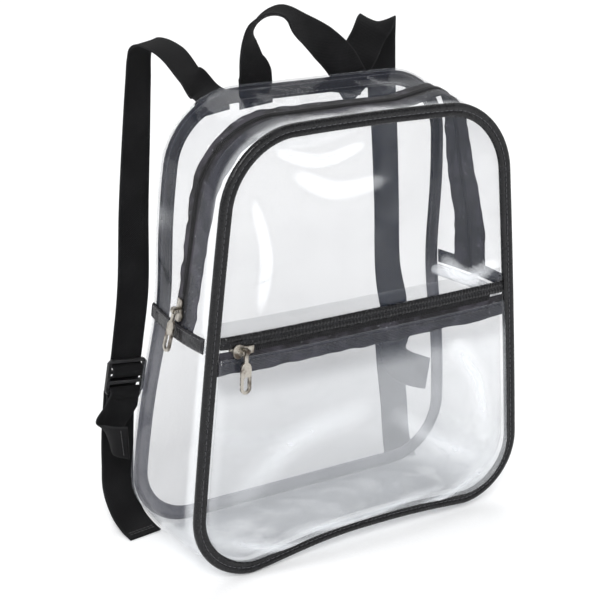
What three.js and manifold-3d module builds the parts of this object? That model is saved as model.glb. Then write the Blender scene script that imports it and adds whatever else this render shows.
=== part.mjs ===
// Clear backpack with a zipped main space, a zipped front pocket and webbing straps.
// Millimetres. X runs across the bag, the front faces -Y, +Z is up.
// The origin is on the floor, under the middle of the bag's flat bottom.
import * as THREE from 'three';
import { mergeVertices } from 'three/addons/utils/BufferGeometryUtils.js';
import Module from 'manifold-3d';

const wasm = await Module();
wasm.setup();

// Driving dimensions of the body
const backHeight = 305;
const frontHeight = 294;
const bottomWidth = 271;
const topWidth = 215;
const bottomDepth = 85;
const topDepth = 69.5;
const topRadius = 52;
const bottomRadius = 45;
const sideBow = 2; // how far the sides curve out at mid height
const frontArch = 9; // lift of the front edge between its two lower corners
const cornerLift = 5; // the front's lower right corner stands this far off the floor
const topCrown = 3; // rise of the front's top edge at mid width
const seamHeight = 162; // joint between the bottom gusset and the zip gusset
const waist = 6; // how far the back edge draws in at that joint
const waistReach = 50; // height over which it draws in

// Clear sheet and the clearance kept between pieces
const sheet = 1.0;
const gap = 0.3;
const upperGussetBulge = 1.5;
const lowerGussetBulge = 4;
const bulgeBlend = 60; // height each side of the joint over which one bulge turns into the other
const frontBulge = 3;
const backBulge = 2;
const pocketBulge = 4;
const pocketDepth = 7; // how far the pocket's inner wall stands back

// Bound edges
const bindingWidth = 9;
const bindingThickness = 4.5;
const gussetSet = 1.2; // the gusset sits this far inside the binding's outer edge
const seamTapeWidth = 10;
const seamTapeThickness = 1.2;
const stripWidth = 10;
const stripThickness = 1.5;
const stripStart = 0.02; // share of the depth where the strips begin, behind the binding

// Zips
const zipTape = 0.7;
const coilWidth = 5;
const coilThickness = 2.6;
const mainSlit = 7; // bare tape on each side of the coil's middle
const pocketZipHeight = 158;
const pocketTapeUpper = 9.5;
const pocketTapeLower = 17;
const pocketWallRise = 18; // the pocket's inner wall ends this far above its zip
const pocketWallTop = pocketZipHeight + pocketWallRise;
const flatByZip = 16; // no dents this close to the pocket's zip
const flatBlend = 14; // height over which they come back
const flatTop = 20; // height below the pocket sheet's top over which its dents come in
const tapeSteps = 20; // lengths that the pocket tapes are divided into
const coilEndSpace = 12; // the coil stops this far short of the sheet's edge

// Sliders and pulls
const sliderLength = 15;
const sliderWidth = 9.5;
const plateThickness = 1.2;
const lugHeight = 2.8;
const pinRadius = 0.7;
const pinLength = 5.6;
const earThickness = 1.2;
const pullLength = 28;
const pullWidth = 7.5;
const pullThickness = 1.6;
const eyeRadius = 1.3; // the hole that turns on the pin
const eyeWall = 1.1;
const sliderClearance = 1.5; // between the closed main slider and the seam strip
const mainSliderHeight = seamHeight + stripWidth / 2 + sliderLength / 2 + sliderClearance;
const mainPullTilt = 4; // the main pull rests on the seam strip, this many degrees off the zip
const pocketSliderInset = 15; // from the end of the pocket's zip tape
const pocketPanelTop = pocketZipHeight - sliderWidth / 2 - gap; // clear of the slider

// Webbing
const webbingWidth = 25;
const webbingThickness = 1.4;
const strapReach = 40; // how far the shoulder straps stand behind the back
const handleRise = 45; // how far the handle stands above the top
const sewnLength = 16; // webbing laid against the back below the top edge

// Ladder locks
const lockWidth = 31;
const lockBar = 2.4;
const lockSlot = 5;
const lockThickness = 2.4;
const lockBars = 4;

// Colours and finishes
const finishes = {
  clear: { color: 0xdfe6ee, roughness: 0.08, metalness: 0, transparent: true, opacity: 0.35 },
  trim: { color: 0x1d1c20, roughness: 0.3, metalness: 0 },
  tape: { color: 0x202024, roughness: 0.75, metalness: 0 },
  webbing: { color: 0x19191b, roughness: 0.85, metalness: 0 },
  metal: { color: 0xa8a091, roughness: 0.3, metalness: 1 },
  plastic: { color: 0x121214, roughness: 0.45, metalness: 0 },
};

// Outline of the front or back edge, as a closed loop of points in the X-Z plane
const counts = { bottom: 5, lowerCorner: 6, lowerSide: 4, upperSide: 5, upperCorner: 7, top: 4 };
const halfCount = 1 + counts.bottom + counts.lowerCorner + counts.lowerSide + 1
  + counts.upperSide + counts.upperCorner + counts.top;
const seamLow = counts.bottom + counts.lowerCorner + counts.lowerSide;
const seamHigh = seamLow + 1;
const loopCount = 2 * halfCount - 2;

function halfOutline(height) {
  const slope = Math.atan2((bottomWidth - topWidth) / 2, height);
  const bottomSet = bottomRadius / Math.tan((Math.PI / 2 - slope) / 2);
  const topSet = topRadius / Math.tan((Math.PI / 2 + slope) / 2);
  const low = { x: bottomWidth / 2 - bottomSet, z: bottomRadius };
  const high = { x: topWidth / 2 - topSet, z: height - topRadius };
  const arc = (centre, radius, angle) => ({
    x: centre.x + radius * Math.cos(angle),
    z: centre.z + radius * Math.sin(angle),
  });
  const sideFoot = arc(low, bottomRadius, slope);
  const sideHead = arc(high, topRadius, slope);
  const onSide = (z) => ({
    x: sideFoot.x + (sideHead.x - sideFoot.x) * (z - sideFoot.z) / (sideHead.z - sideFoot.z),
    z,
  });
  const points = [];
  for (let k = 0; k <= counts.bottom; k++) {
    points.push({ x: low.x * k / counts.bottom, z: 0 });
  }
  for (let k = 1; k <= counts.lowerCorner; k++) {
    const angle = -Math.PI / 2 + (slope + Math.PI / 2) * k / counts.lowerCorner;
    points.push(arc(low, bottomRadius, angle));
  }
  const seamBottom = seamHeight - gap / 2;
  const seamTop = seamHeight + gap / 2;
  for (let k = 1; k <= counts.lowerSide; k++) {
    points.push(onSide(sideFoot.z + (seamBottom - sideFoot.z) * k / counts.lowerSide));
  }
  for (let k = 0; k <= counts.upperSide; k++) {
    points.push(onSide(seamTop + (sideHead.z - seamTop) * k / counts.upperSide));
  }
  for (let k = 1; k <= counts.upperCorner; k++) {
    points.push(arc(high, topRadius, slope + (Math.PI / 2 - slope) * k / counts.upperCorner));
  }
  for (let k = 1; k <= counts.top; k++) {
    points.push({ x: high.x * (1 - k / counts.top), z: height });
  }
  return points;
}

const archHalf = bottomWidth / 2 - bottomRadius;

function outline({ height, arch, lift, crown, drawIn }) {
  const shaped = halfOutline(height).map(({ x, z }) => {
    const share = z / height;
    const side = THREE.MathUtils.smoothstep(x, 0.2 * topWidth, 0.4 * topWidth);
    const bow = sideBow * 4 * share * (1 - share);
    const drawn = drawIn * Math.exp(-(((z - seamHeight) / waistReach) ** 2));
    const halfWidth = (bottomWidth + (topWidth - bottomWidth) * share) / 2;
    const archShape = Math.max(0, 1 - (x / archHalf) ** 2) ** 1.5 * (1 - share) ** 3;
    const crownShape = Math.max(0, 1 - (x / halfWidth) ** 2) * share ** 3;
    return {
      x: x + side * (bow - drawn),
      z: z + arch * archShape + crown * crownShape,
    };
  });
  const left = shaped.slice(1, -1).reverse().map(({ x, z }) => ({ x: -x, z }));
  const points = [...shaped, ...left].map(({ x, z }) => ({
    x,
    z: z + lift * THREE.MathUtils.smoothstep(x, 0, archHalf) * (1 - z / height) ** 3,
  }));
  return points.map((point, i) => {
    const before = points[(i + loopCount - 1) % loopCount];
    const after = points[(i + 1) % loopCount];
    const dx = after.x - before.x;
    const dz = after.z - before.z;
    const length = Math.hypot(dx, dz);
    return { ...point, nx: dz / length, nz: -dx / length };
  });
}

const frontShape = { height: frontHeight, crown: topCrown, drawIn: 0 };
const frontLoop = outline({ ...frontShape, arch: frontArch, lift: cornerLift });
const levelLoop = outline({ ...frontShape, arch: 0, lift: 0 });
const backLoop = outline({ height: backHeight, arch: 0, lift: 0, crown: 0, drawIn: waist });

// Front and back planes lean together as the bag narrows upwards
const depthAt = (z) => bottomDepth + (topDepth - bottomDepth) * z / backHeight;
const frontY = (z) => -depthAt(z) / 2;
const backY = (z) => depthAt(z) / 2;
const inward = (point, inset) => ({ x: point.x - point.nx * inset, z: point.z - point.nz * inset });

// Closed solids from ordered sections
function orientedGeometry(positions, indices) {
  const at = (k) => new THREE.Vector3(...positions.slice(3 * k, 3 * k + 3));
  let volume = 0;
  for (let k = 0; k < indices.length; k += 3) {
    const [a, b, c] = [at(indices[k]), at(indices[k + 1]), at(indices[k + 2])];
    volume += a.dot(b.cross(c));
  }
  const faces = [];
  for (let k = 0; k < indices.length; k += 3) {
    const [a, b, c] = indices.slice(k, k + 3);
    faces.push(...(volume > 0 ? [a, b, c] : [a, c, b]));
  }
  const geometry = new THREE.BufferGeometry();
  geometry.setAttribute('position', new THREE.Float32BufferAttribute(positions, 3));
  geometry.setIndex(faces);
  return geometry;
}

// Every section is a closed ring of points: outer points forward, then inner points back
function sweep(sections, closed = false) {
  const ring = sections[0].length;
  const positions = sections.flat().flatMap((p) => [p.x, p.y, p.z]);
  const indices = [];
  const quad = (a, b, c, d) => indices.push(a, b, c, a, c, d);
  const spans = closed ? sections.length : sections.length - 1;
  for (let i = 0; i < spans; i++) {
    const j = (i + 1) % sections.length;
    for (let k = 0; k < ring; k++) {
      const m = (k + 1) % ring;
      quad(i * ring + k, j * ring + k, j * ring + m, i * ring + m);
    }
  }
  if (!closed) {
    const last = (sections.length - 1) * ring;
    for (let k = 0; k < ring / 2 - 1; k++) {
      quad(k, k + 1, ring - 2 - k, ring - 1 - k);
      quad(last + ring - 1 - k, last + ring - 2 - k, last + k + 1, last + k);
    }
  }
  return orientedGeometry(positions, indices);
}

// A sheet drawn over a closed edge in rings that shrink to its middle
const ringShares = [1, 0.87, 0.66, 0.4, 0.18];

function sheetOver(edge, middle, surface, thickness) {
  const positions = [];
  const indices = [];
  const n = edge.length;
  const rings = ringShares.length;
  const put = (x, z, offset) => positions.push(x, surface(x, z) + offset, z);
  for (const offset of [-thickness / 2, thickness / 2]) {
    for (const share of ringShares) {
      for (const { x, z } of edge) {
        put(middle.x + (x - middle.x) * share, middle.z + (z - middle.z) * share, offset);
      }
    }
    put(middle.x, middle.z, offset);
  }
  const face = n * rings + 1;
  for (let i = 0; i < n; i++) {
    const j = (i + 1) % n;
    for (let r = 0; r < rings - 1; r++) {
      const [a, b, c, d] = [r * n + i, r * n + j, (r + 1) * n + j, (r + 1) * n + i];
      indices.push(a, b, c, a, c, d);
      indices.push(face + a, face + c, face + b, face + a, face + d, face + c);
    }
    const inner = (rings - 1) * n;
    indices.push(inner + i, inner + j, face - 1);
    indices.push(face + inner + j, face + inner + i, 2 * face - 1);
    indices.push(i, face + i, face + j, i, face + j, j);
  }
  return orientedGeometry(positions, indices);
}

// The edge loop cut off above or below a height
function cutEdge(edge, height, keepBelow) {
  const inside = (p) => (keepBelow ? p.z <= height : p.z >= height);
  const kept = [];
  edge.forEach((point, i) => {
    const next = edge[(i + 1) % edge.length];
    if (inside(point)) {
      kept.push(point);
    }
    if (inside(point) !== inside(next)) {
      const share = (height - point.z) / (next.z - point.z);
      const crossing = { x: point.x + (next.x - point.x) * share, z: height };
      if (Math.hypot(crossing.x - point.x, crossing.z - point.z) > gap) {
        kept.push(crossing);
      }
    }
  });
  return kept;
}

// Adds points along the level edge that a cut leaves
function fillCut(edge, height, steps) {
  const filled = [];
  edge.forEach((point, i) => {
    filled.push(point);
    const next = edge[(i + 1) % edge.length];
    const level = Math.abs(point.z - height) < gap && Math.abs(next.z - height) < gap;
    if (level && Math.abs(next.x - point.x) > bindingWidth) {
      for (let k = 1; k < steps; k++) {
        filled.push({ x: point.x + (next.x - point.x) * k / steps, z: height });
      }
    }
  });
  return filled;
}

// Sheets lie at set depths in the front: pocket sheet, zip tape, upper sheet, pocket's inner wall
const tapeLayer = 0;
const outerLayer = tapeLayer - zipTape / 2 - gap - sheet / 2;
const innerLayer = tapeLayer + zipTape / 2 + gap + sheet / 2;
const wallLayer = innerLayer + sheet + gap;

const middleZ = frontHeight / 2;
const panelHalf = (z) => (bottomWidth + (topWidth - bottomWidth) * z / frontHeight) / 2;

function pillow(x, z, low, high, power) {
  const across = Math.min(1, Math.abs(x) / panelHalf(z));
  const upward = Math.min(1, Math.abs(2 * z - low - high) / (high - low));
  return (1 - across ** power) * (1 - upward ** power);
}

// Dents and folds in the clear sheets; places are shares of the half width and height
const dents = [
  { panel: 'front', side: -0.55, up: 0.86, wide: 0.22, tall: 0.07, depth: 1.6 },
  { panel: 'front', side: 0.35, up: 0.8, wide: 0.3, tall: 0.08, depth: -1.2 },
  { panel: 'front', side: 0.1, up: 0.66, wide: 0.4, tall: 0.05, depth: 1.2 },
  { panel: 'pocket', side: -0.6, up: 0.1, wide: 0.25, tall: 0.07, depth: 2.0 },
  { panel: 'pocket', side: 0.45, up: 0.12, wide: 0.35, tall: 0.05, depth: -1.8 },
  { panel: 'pocket', side: 0.55, up: 0.34, wide: 0.2, tall: 0.12, depth: 1.8 },
  { panel: 'back', side: 0.3, up: 0.6, wide: 0.35, tall: 0.12, depth: -1.5 },
  { panel: 'back', side: -0.4, up: 0.35, wide: 0.3, tall: 0.1, depth: 1.5 },
];

function dentDepth(panel, x, z) {
  const own = dents.filter((dent) => dent.panel === panel);
  return own.reduce((sum, dent) => {
    const across = (x / panelHalf(z) - dent.side) / dent.wide;
    const upward = (z / backHeight - dent.up) / dent.tall;
    return sum + dent.depth * Math.exp(-(across ** 2) - upward ** 2);
  }, 0);
}

const frontSkin = (x, z) => frontY(z) - frontBulge * pillow(x, z, 0, frontHeight, 4);
const fromZip = (z) => Math.abs(z - pocketZipHeight) - flatByZip;
const zipBand = (z) => THREE.MathUtils.smoothstep(fromZip(z), 0, flatBlend);
const pocketFade = (z) => THREE.MathUtils.smoothstep(pocketPanelTop - z, 0, flatTop);

const surfaces = {
  front: (x, z) => frontSkin(x, z) + innerLayer + zipBand(z) * dentDepth('front', x, z),
  pocket: (x, z) => frontSkin(x, z) + outerLayer
    - pocketBulge * pillow(x, z, 0, pocketPanelTop, 4) + pocketFade(z) * dentDepth('pocket', x, z),
  wall: (x, z) => frontSkin(x, z) + wallLayer + pocketDepth * pillow(x, z, 0, pocketWallTop, 6),
  back: (x, z) => backY(z) + gap + sheet / 2 + backBulge * pillow(x, z, 0, backHeight, 4)
    + pillow(x, z, 0, backHeight, 4) * dentDepth('back', x, z),
};

const panelEdge = frontLoop.map((point) => inward(point, bindingWidth + gap));
const cutSteps = 14;

function frontPanel() {
  const low = pocketZipHeight + sliderWidth / 2 + gap;
  const edge = fillCut(cutEdge(panelEdge, low, false), low, cutSteps);
  return sheetOver(edge, { x: 0, z: (frontHeight + pocketZipHeight) / 2 }, surfaces.front, sheet);
}

function pocketPanel() {
  const edge = fillCut(cutEdge(panelEdge, pocketPanelTop, true), pocketPanelTop, cutSteps);
  return sheetOver(edge, { x: 0, z: pocketPanelTop / 2 }, surfaces.pocket, sheet);
}

function pocketBack() {
  const edge = fillCut(cutEdge(panelEdge, pocketWallTop, true), pocketWallTop, cutSteps);
  return sheetOver(edge, { x: 0, z: pocketWallTop / 2 }, surfaces.wall, sheet);
}

function backPanel() {
  return sheetOver(backLoop, { x: 0, z: middleZ }, surfaces.back, sheet);
}

// The gusset wall between front edge (share 0) and back edge (share 1)
const archStart = 0.4; // the bottom is level from this share of the depth back
const frontFace = bindingThickness / 2 + gap;

function bulgeAt(z) {
  const high = THREE.MathUtils.smoothstep(z, seamHeight - bulgeBlend, seamHeight + bulgeBlend);
  return lowerGussetBulge + (upperGussetBulge - lowerGussetBulge) * high;
}

function wallPoint(i, share, inset) {
  const arched = Math.max(0, 1 - share / archStart) ** 2;
  const archPoint = inward(frontLoop[i], gussetSet);
  const level = levelLoop[i];
  const back = backLoop[i];
  const front = {
    x: level.x + (archPoint.x - level.x) * arched,
    z: level.z + (archPoint.z - level.z) * arched,
  };
  const x = front.x + (back.x - front.x) * share;
  const z = front.z + (back.z - front.z) * share;
  const out = bulgeAt(z) * Math.sin(Math.PI * share) * Math.abs(back.nx) - inset;
  const y = frontY(z) + frontFace + (depthAt(z) - frontFace) * share;
  return new THREE.Vector3(x + back.nx * out, y, Math.max(inset, z + back.nz * out));
}

// The main zip's line: "round" runs from the right joint over the top to the left joint, "share"
// is its place in the depth from the front, and "rear" and "front" are the widths of its tapes
const zipLine = [
  { round: 0, share: 0.545, rear: 13, front: 13 },
  { round: 0.06, share: 0.56, rear: 13, front: 13.5 },
  { round: 0.11, share: 0.68, rear: 13, front: 13 },
  { round: 0.15, share: 0.75, rear: 11, front: 11 },
  { round: 0.2, share: 0.76, rear: 9, front: 10 },
  { round: 0.32, share: 0.52, rear: 8, front: 10 },
  { round: 0.44, share: 0.24, rear: 6, front: 10 },
  { round: 0.5, share: 0.24, rear: 7, front: 11 },
  { round: 0.6, share: 0.24, rear: 9, front: 12 },
  { round: 0.7, share: 0.28, rear: 6, front: 14 },
  { round: 0.8, share: 0.32, rear: 5, front: 15 },
  { round: 0.9, share: 0.37, rear: 5, front: 14 },
  { round: 1, share: 0.45, rear: 5, front: 14 },
];

function zipAt(i) {
  const round = Math.min(1, Math.max(0, (i - seamHigh) / (loopCount - 2 * seamHigh)));
  const k = Math.max(1, zipLine.findIndex((row) => row.round >= round));
  const [a, b] = [zipLine[k - 1], zipLine[k]];
  const between = (key) => a[key] + (b[key] - a[key]) * (round - a.round) / (b.round - a.round);
  return { share: between('share'), rear: between('rear'), front: between('front') };
}

// A strip of the wall between two shares, between two insets from its outer face
function wallStrip(indices, shares, insets) {
  const sections = indices.map((i) => {
    const list = shares(depthAt(backLoop[i].z), zipAt(i));
    const outer = list.map((share) => wallPoint(i, share, insets[0]));
    const inner = list.map((share) => wallPoint(i, share, insets[1]));
    return [...outer, ...inner.reverse()];
  });
  return sweep(sections);
}

const range = (from, to) => Array.from({ length: to - from + 1 }, (_, k) => from + k);
const spread = (from, to, steps) => range(0, steps).map((k) => from + (to - from) * k / steps);
const overTop = range(seamHigh, loopCount - seamHigh);
const underBottom = range(loopCount - seamLow, loopCount + seamLow).map((i) => i % loopCount);

function gussetLower() {
  return wallStrip(underBottom, () => [0, archStart / 2, archStart, 0.7, 1], [0, sheet]);
}

function gussetRear() {
  const shares = (depth, zip) => spread(zip.share + mainSlit / depth, 1, 3);
  return wallStrip(overTop, shares, [0, sheet]);
}

function gussetFront() {
  const shares = (depth, zip) => spread(0, zip.share - mainSlit / depth, 2);
  return wallStrip(overTop, shares, [0, sheet]);
}

const tapeInsets = [sheet + gap, sheet + gap + zipTape];

function mainTape(side) {
  const near = coilWidth / 2 + gap;
  const shares = (depth, zip) => {
    const far = near + (side > 0 ? zip.rear : zip.front);
    return [near, far].map((width) => zip.share + side * width / depth);
  };
  return wallStrip(overTop, shares, tapeInsets);
}

// The black bound joint across the gusset, on its outer face
function seamStrip(side) {
  const low = side > 0 ? seamLow : loopCount - seamLow;
  const half = stripWidth / 2;
  const profile = [
    { rise: -1, out: 0.6 }, { rise: -0.6, out: 1 }, { rise: 0.6, out: 1 }, { rise: 1, out: 0.6 },
    { rise: 1, out: 0 }, { rise: 0.6, out: 0 }, { rise: -0.6, out: 0 }, { rise: -1, out: 0 },
  ];
  const sections = spread(stripStart, 1, 6).map((share) => profile.map(({ rise, out }) => {
    const start = rise < 0 ? low : low + side;
    const near = wallPoint(start, share, -gap);
    const next = wallPoint(start + side * Math.sign(rise), share, -gap);
    const slope = (next.x - near.x) / (next.z - near.z);
    const outward = Math.sign(side) * out * stripThickness;
    return new THREE.Vector3(near.x + slope * rise * half + outward, near.y, seamHeight + rise * half);
  }));
  return sweep(sections);
}

// A closed ring that follows an edge: "inset" from the edge, "out" from the plane of the edge
function edgeRing(loop, plane, profile) {
  const sections = loop.map((point) => profile.map(({ inset, out }) => {
    const { x, z } = inward(point, inset);
    return new THREE.Vector3(x, plane(z) + out, Math.max(0, z));
  }));
  return sweep(sections, true);
}

// The rounded bound edge of the front
function frontBinding() {
  const halfThick = bindingThickness / 2;
  const shape = [
    { across: 0, deep: -0.6 }, { across: 0.18, deep: -1 }, { across: 0.82, deep: -1 },
    { across: 1, deep: -0.6 }, { across: 1, deep: 0.6 }, { across: 0.82, deep: 1 },
    { across: 0.18, deep: 1 }, { across: 0, deep: 0.6 },
  ];
  const profile = shape.map(({ across, deep }) => ({
    inset: across * bindingWidth,
    out: deep * halfThick,
  }));
  return edgeRing(frontLoop, frontY, profile);
}

// The tape over the back seam lies inside, flat against the back
function backSeamTape() {
  const outer = sheet + gap;
  const inner = outer + seamTapeWidth;
  return edgeRing(backLoop, backY, [
    { inset: outer, out: -seamTapeThickness }, { inset: inner, out: -seamTapeThickness },
    { inset: inner, out: 0 }, { inset: outer, out: 0 },
  ]);
}

// Pocket zip: tapes and coil follow the front's surface
function levelEnds(z) {
  const cut = cutEdge(panelEdge, z, true).filter((p) => Math.abs(p.z - z) < gap);
  const reach = Math.max(...cut.map((p) => Math.abs(p.x)));
  return spread(-reach, reach, tapeSteps);
}

function pocketTape(low, high) {
  const bottom = levelEnds(low);
  const top = levelEnds(high);
  const y = (x, z, offset) => frontSkin(x, z) + tapeLayer + offset;
  const sections = bottom.map((x, k) => {
    const rows = [[x, low], [(x + top[k]) / 2, (low + high) / 2], [top[k], high]];
    const outer = rows.map(([px, z]) => new THREE.Vector3(px, y(px, z, -zipTape / 2), z));
    const inner = rows.map(([px, z]) => new THREE.Vector3(px, y(px, z, zipTape / 2), z));
    return [...outer, ...inner.reverse()];
  });
  return sweep(sections);
}

const coilRound = [
  { wide: -1, thick: 0 }, { wide: -0.55, thick: -1 }, { wide: 0.55, thick: -1 },
  { wide: 1, thick: 0 }, { wide: 0.55, thick: 1 }, { wide: -0.55, thick: 1 },
];
const postLength = 3; // the solid wedge at the leading end of a slider
const coilStart = sliderLength / 2 - postLength - gap;

const pocketReach = Math.max(...levelEnds(pocketZipHeight));
const pocketSliderX = -(pocketReach - pocketSliderInset);

function pocketCoil() {
  const from = pocketSliderX - coilStart;
  const sections = spread(from, pocketReach - coilEndSpace, 24).map((x) => coilRound.map((p) => {
    const z = pocketZipHeight + p.wide * coilWidth / 2;
    const y = frontSkin(x, pocketZipHeight) + tapeLayer + p.thick * coilThickness / 2;
    return new THREE.Vector3(x, y, z);
  }));
  return sweep(sections);
}

// Places on the main zip's line, where the slider and coil sit
const coilInset = tapeInsets[0] + zipTape / 2;

const mainLinePoint = (i, inset) => wallPoint(i, zipAt(i).share, inset);

// The left run of the zip, from the seam up, met at a height
function mainLineAt(height, inset) {
  const run = range(loopCount - halfCount, loopCount - seamHigh).reverse()
    .map((i) => mainLinePoint(i, inset));
  const k = run.findIndex((p, i) => i + 1 < run.length && run[i + 1].z > height);
  const [a, b] = [run[k], run[k + 1]];
  return { point: a.clone().lerp(b, (height - a.z) / (b.z - a.z)), along: b.clone().sub(a).normalize() };
}

function mainCoil() {
  const start = mainLineAt(mainSliderHeight + coilStart, 0).point.z;
  const kept = overTop.filter((i) => i < halfCount || mainLinePoint(i, 0).z > start + coilWidth);
  const sectionAt = (line) => coilRound.map((p) => line(p));
  const sections = kept.map((i) => sectionAt((p) => {
    const depth = depthAt(backLoop[i].z);
    const share = zipAt(i).share + p.wide * coilWidth / 2 / depth;
    return wallPoint(i, share, coilInset - p.thick * coilThickness / 2);
  }));
  sections.push(sectionAt((p) => {
    const inset = coilInset - p.thick * coilThickness / 2;
    const { point } = mainLineAt(start, inset);
    return new THREE.Vector3(point.x, point.y + p.wide * coilWidth / 2, start);
  }));
  return sweep(sections);
}

// Joining and cutting of closed meshes
function toSolid(geometry) {
  const bare = geometry.clone();
  bare.deleteAttribute('normal');
  bare.deleteAttribute('uv');
  const merged = mergeVertices(bare, 1e-4);
  return new wasm.Manifold(new wasm.Mesh({
    numProp: 3,
    vertProperties: new Float32Array(merged.attributes.position.array),
    triVerts: new Uint32Array(merged.index.array),
  }));
}

function fromSolid(solid) {
  const mesh = solid.getMesh();
  const geometry = new THREE.BufferGeometry();
  geometry.setAttribute('position', new THREE.BufferAttribute(mesh.vertProperties, 3));
  geometry.setIndex(new THREE.BufferAttribute(mesh.triVerts, 1));
  return geometry;
}

const join = (parts) => fromSolid(parts.map(toSolid).reduce((all, part) => all.add(part)));

function block(width, depth, height, x, y, z) {
  return new THREE.BoxGeometry(width, depth, height).translate(x, y, z);
}

// A plate in the X-Z plane, cut from an outline; its thickness runs along Y
function plate(shape, thickness) {
  const options = { depth: thickness, bevelEnabled: false, curveSegments: 5 };
  return new THREE.ExtrudeGeometry(shape, options).rotateX(Math.PI / 2).translate(0, thickness / 2, 0);
}

function sliderShape() {
  const shape = new THREE.Shape();
  const halfLong = sliderLength / 2;
  const halfWide = sliderWidth / 2;
  const shoulder = halfWide / 2;
  shape.moveTo(halfLong, -shoulder);
  shape.lineTo(halfLong, shoulder);
  shape.quadraticCurveTo(0, shoulder, -halfLong / 3, halfWide);
  shape.quadraticCurveTo(-halfLong, halfWide, -halfLong, 0);
  shape.quadraticCurveTo(-halfLong, -halfWide, -halfLong / 3, -halfWide);
  shape.quadraticCurveTo(0, -shoulder, halfLong, -shoulder);
  return shape;
}

// A slider in its own frame: travel along X, the pull's side faces -Y, its wedge end at -X
const plateOut = coilThickness / 2 + 2 * gap + plateThickness / 2;
const pinOut = plateOut + plateThickness / 2 + lugHeight;

function slider(pinAlongTravel) {
  const outer = plate(sliderShape(), plateThickness).translate(0, -plateOut, 0);
  const inner = plate(sliderShape(), plateThickness).translate(0, plateOut, 0);
  const postX = -sliderLength / 2 + postLength / 2 + gap;
  const post = block(postLength - gap, 2 * plateOut, postLength, postX, 0, 0);
  const pin = new THREE.CylinderGeometry(pinRadius, pinRadius, pinLength, 8).rotateZ(Math.PI / 2)
    .translate(0, -pinOut, 0);
  const ears = [-1, 1].map((side) => {
    const height = lugHeight + plateThickness / 2 + pinRadius + eyeWall / 2;
    const middle = -plateOut - height / 2;
    const across = 3 * pinRadius;
    return block(earThickness, height, across, side * (pinLength - earThickness) / 2, middle, 0);
  });
  const lug = join([pin, ...ears]);
  if (!pinAlongTravel) {
    lug.rotateY(Math.PI / 2);
  }
  return join([outer, inner, post, lug]);
}

// A pull in its own frame: it turns on the X axis at the origin and hangs down
const pullEyeOuter = eyeRadius + eyeWall;
const eyeWidth = pinLength - 2 * earThickness - 2 * gap;

function pull() {
  const shape = new THREE.Shape();
  const half = pullWidth / 2;
  const neck = eyeWidth / 2;
  const low = -pullLength + half;
  shape.moveTo(-neck, -eyeRadius - eyeWall / 3);
  shape.lineTo(-neck, -pullLength * 0.25);
  shape.quadraticCurveTo(-half, -pullLength * 0.3, -half, -pullLength * 0.42);
  shape.lineTo(-half, low);
  shape.absarc(0, low, half, Math.PI, 2 * Math.PI, false);
  shape.lineTo(half, -pullLength * 0.42);
  shape.quadraticCurveTo(half, -pullLength * 0.3, neck, -pullLength * 0.25);
  shape.lineTo(neck, -eyeRadius - eyeWall / 3);
  const hole = new THREE.Path();
  const holeHalf = pullWidth * 0.24;
  const holeTop = low + pullLength * 0.22;
  hole.moveTo(-holeHalf, low);
  hole.lineTo(-holeHalf, holeTop);
  hole.absarc(0, holeTop, holeHalf, Math.PI, 0, true);
  hole.lineTo(holeHalf, low);
  hole.absarc(0, low, holeHalf, 0, -Math.PI, true);
  shape.holes.push(hole);
  const tab = new THREE.ExtrudeGeometry(shape, {
    depth: pullThickness, bevelEnabled: false, curveSegments: 6,
  }).rotateX(Math.PI / 2).translate(0, pullThickness / 2, 0);
  const ringShape = new THREE.Shape();
  ringShape.absarc(0, 0, pullEyeOuter, 0, 2 * Math.PI, false);
  const ringHole = new THREE.Path();
  ringHole.absarc(0, 0, eyeRadius, 0, 2 * Math.PI, true);
  ringShape.holes.push(ringHole);
  const ring = new THREE.ExtrudeGeometry(ringShape, {
    depth: eyeWidth, bevelEnabled: false, curveSegments: 6,
  }).translate(0, 0, -eyeWidth / 2).rotateY(Math.PI / 2);
  return join([tab, ring]);
}

// Webbing: stations carry a place and the direction of the webbing's width
const degrees = THREE.MathUtils.degToRad;
const widthDirection = ({ turn, lean }) => new THREE.Vector3(
  Math.cos(degrees(turn)) * Math.cos(degrees(lean)),
  Math.sin(degrees(turn)) * Math.cos(degrees(lean)),
  Math.sin(degrees(lean)),
);

const seatGap = 0.8; // sewn webbing stands this far off the sheet behind it
const seatOut = sheet / 2 + seatGap + webbingThickness / 2;
const floorLift = webbingThickness / 2 + 0.1;

function station({ side, behind, up, turn, lean }) {
  const x = side * topWidth / 2;
  const z = Math.max(floorLift, up * backHeight);
  const y = backY(z) + sheet + gap + behind * strapReach;
  return { place: new THREE.Vector3(x, y, z), width: widthDirection({ turn, lean }) };
}

// The sewn end lies against the back, or against other webbing; it is flat up to "over" its rim
function sewnEnd({ side, lean, drift, over, layer = 0 }) {
  const x = side * topWidth / 2;
  const rim = rimHeight(x);
  const width = widthDirection({ turn: 0, lean });
  return [1, 0.5, -over].map((share) => {
    const px = x + drift * sewnLength * share;
    const z = rim - sewnLength * share;
    const behind = [-webbingWidth / 2, 0, webbingWidth / 2].map((across) => {
      const height = Math.min(rim, z + across * width.z);
      return surfaces.back(px + across * width.x, height) + seatOut;
    });
    const y = Math.max(...behind) + layer * (webbingThickness + gap);
    return { place: new THREE.Vector3(px, y, z), width };
  });
}

function rimHeight(x) {
  const upper = backLoop.filter((point) => point.z > seamHeight);
  const k = upper.findIndex((point, i) => i + 1 < upper.length && upper[i + 1].x <= x);
  const [a, b] = [upper[k], upper[k + 1]];
  return a.z + (b.z - a.z) * (x - a.x) / (b.x - a.x);
}

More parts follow.
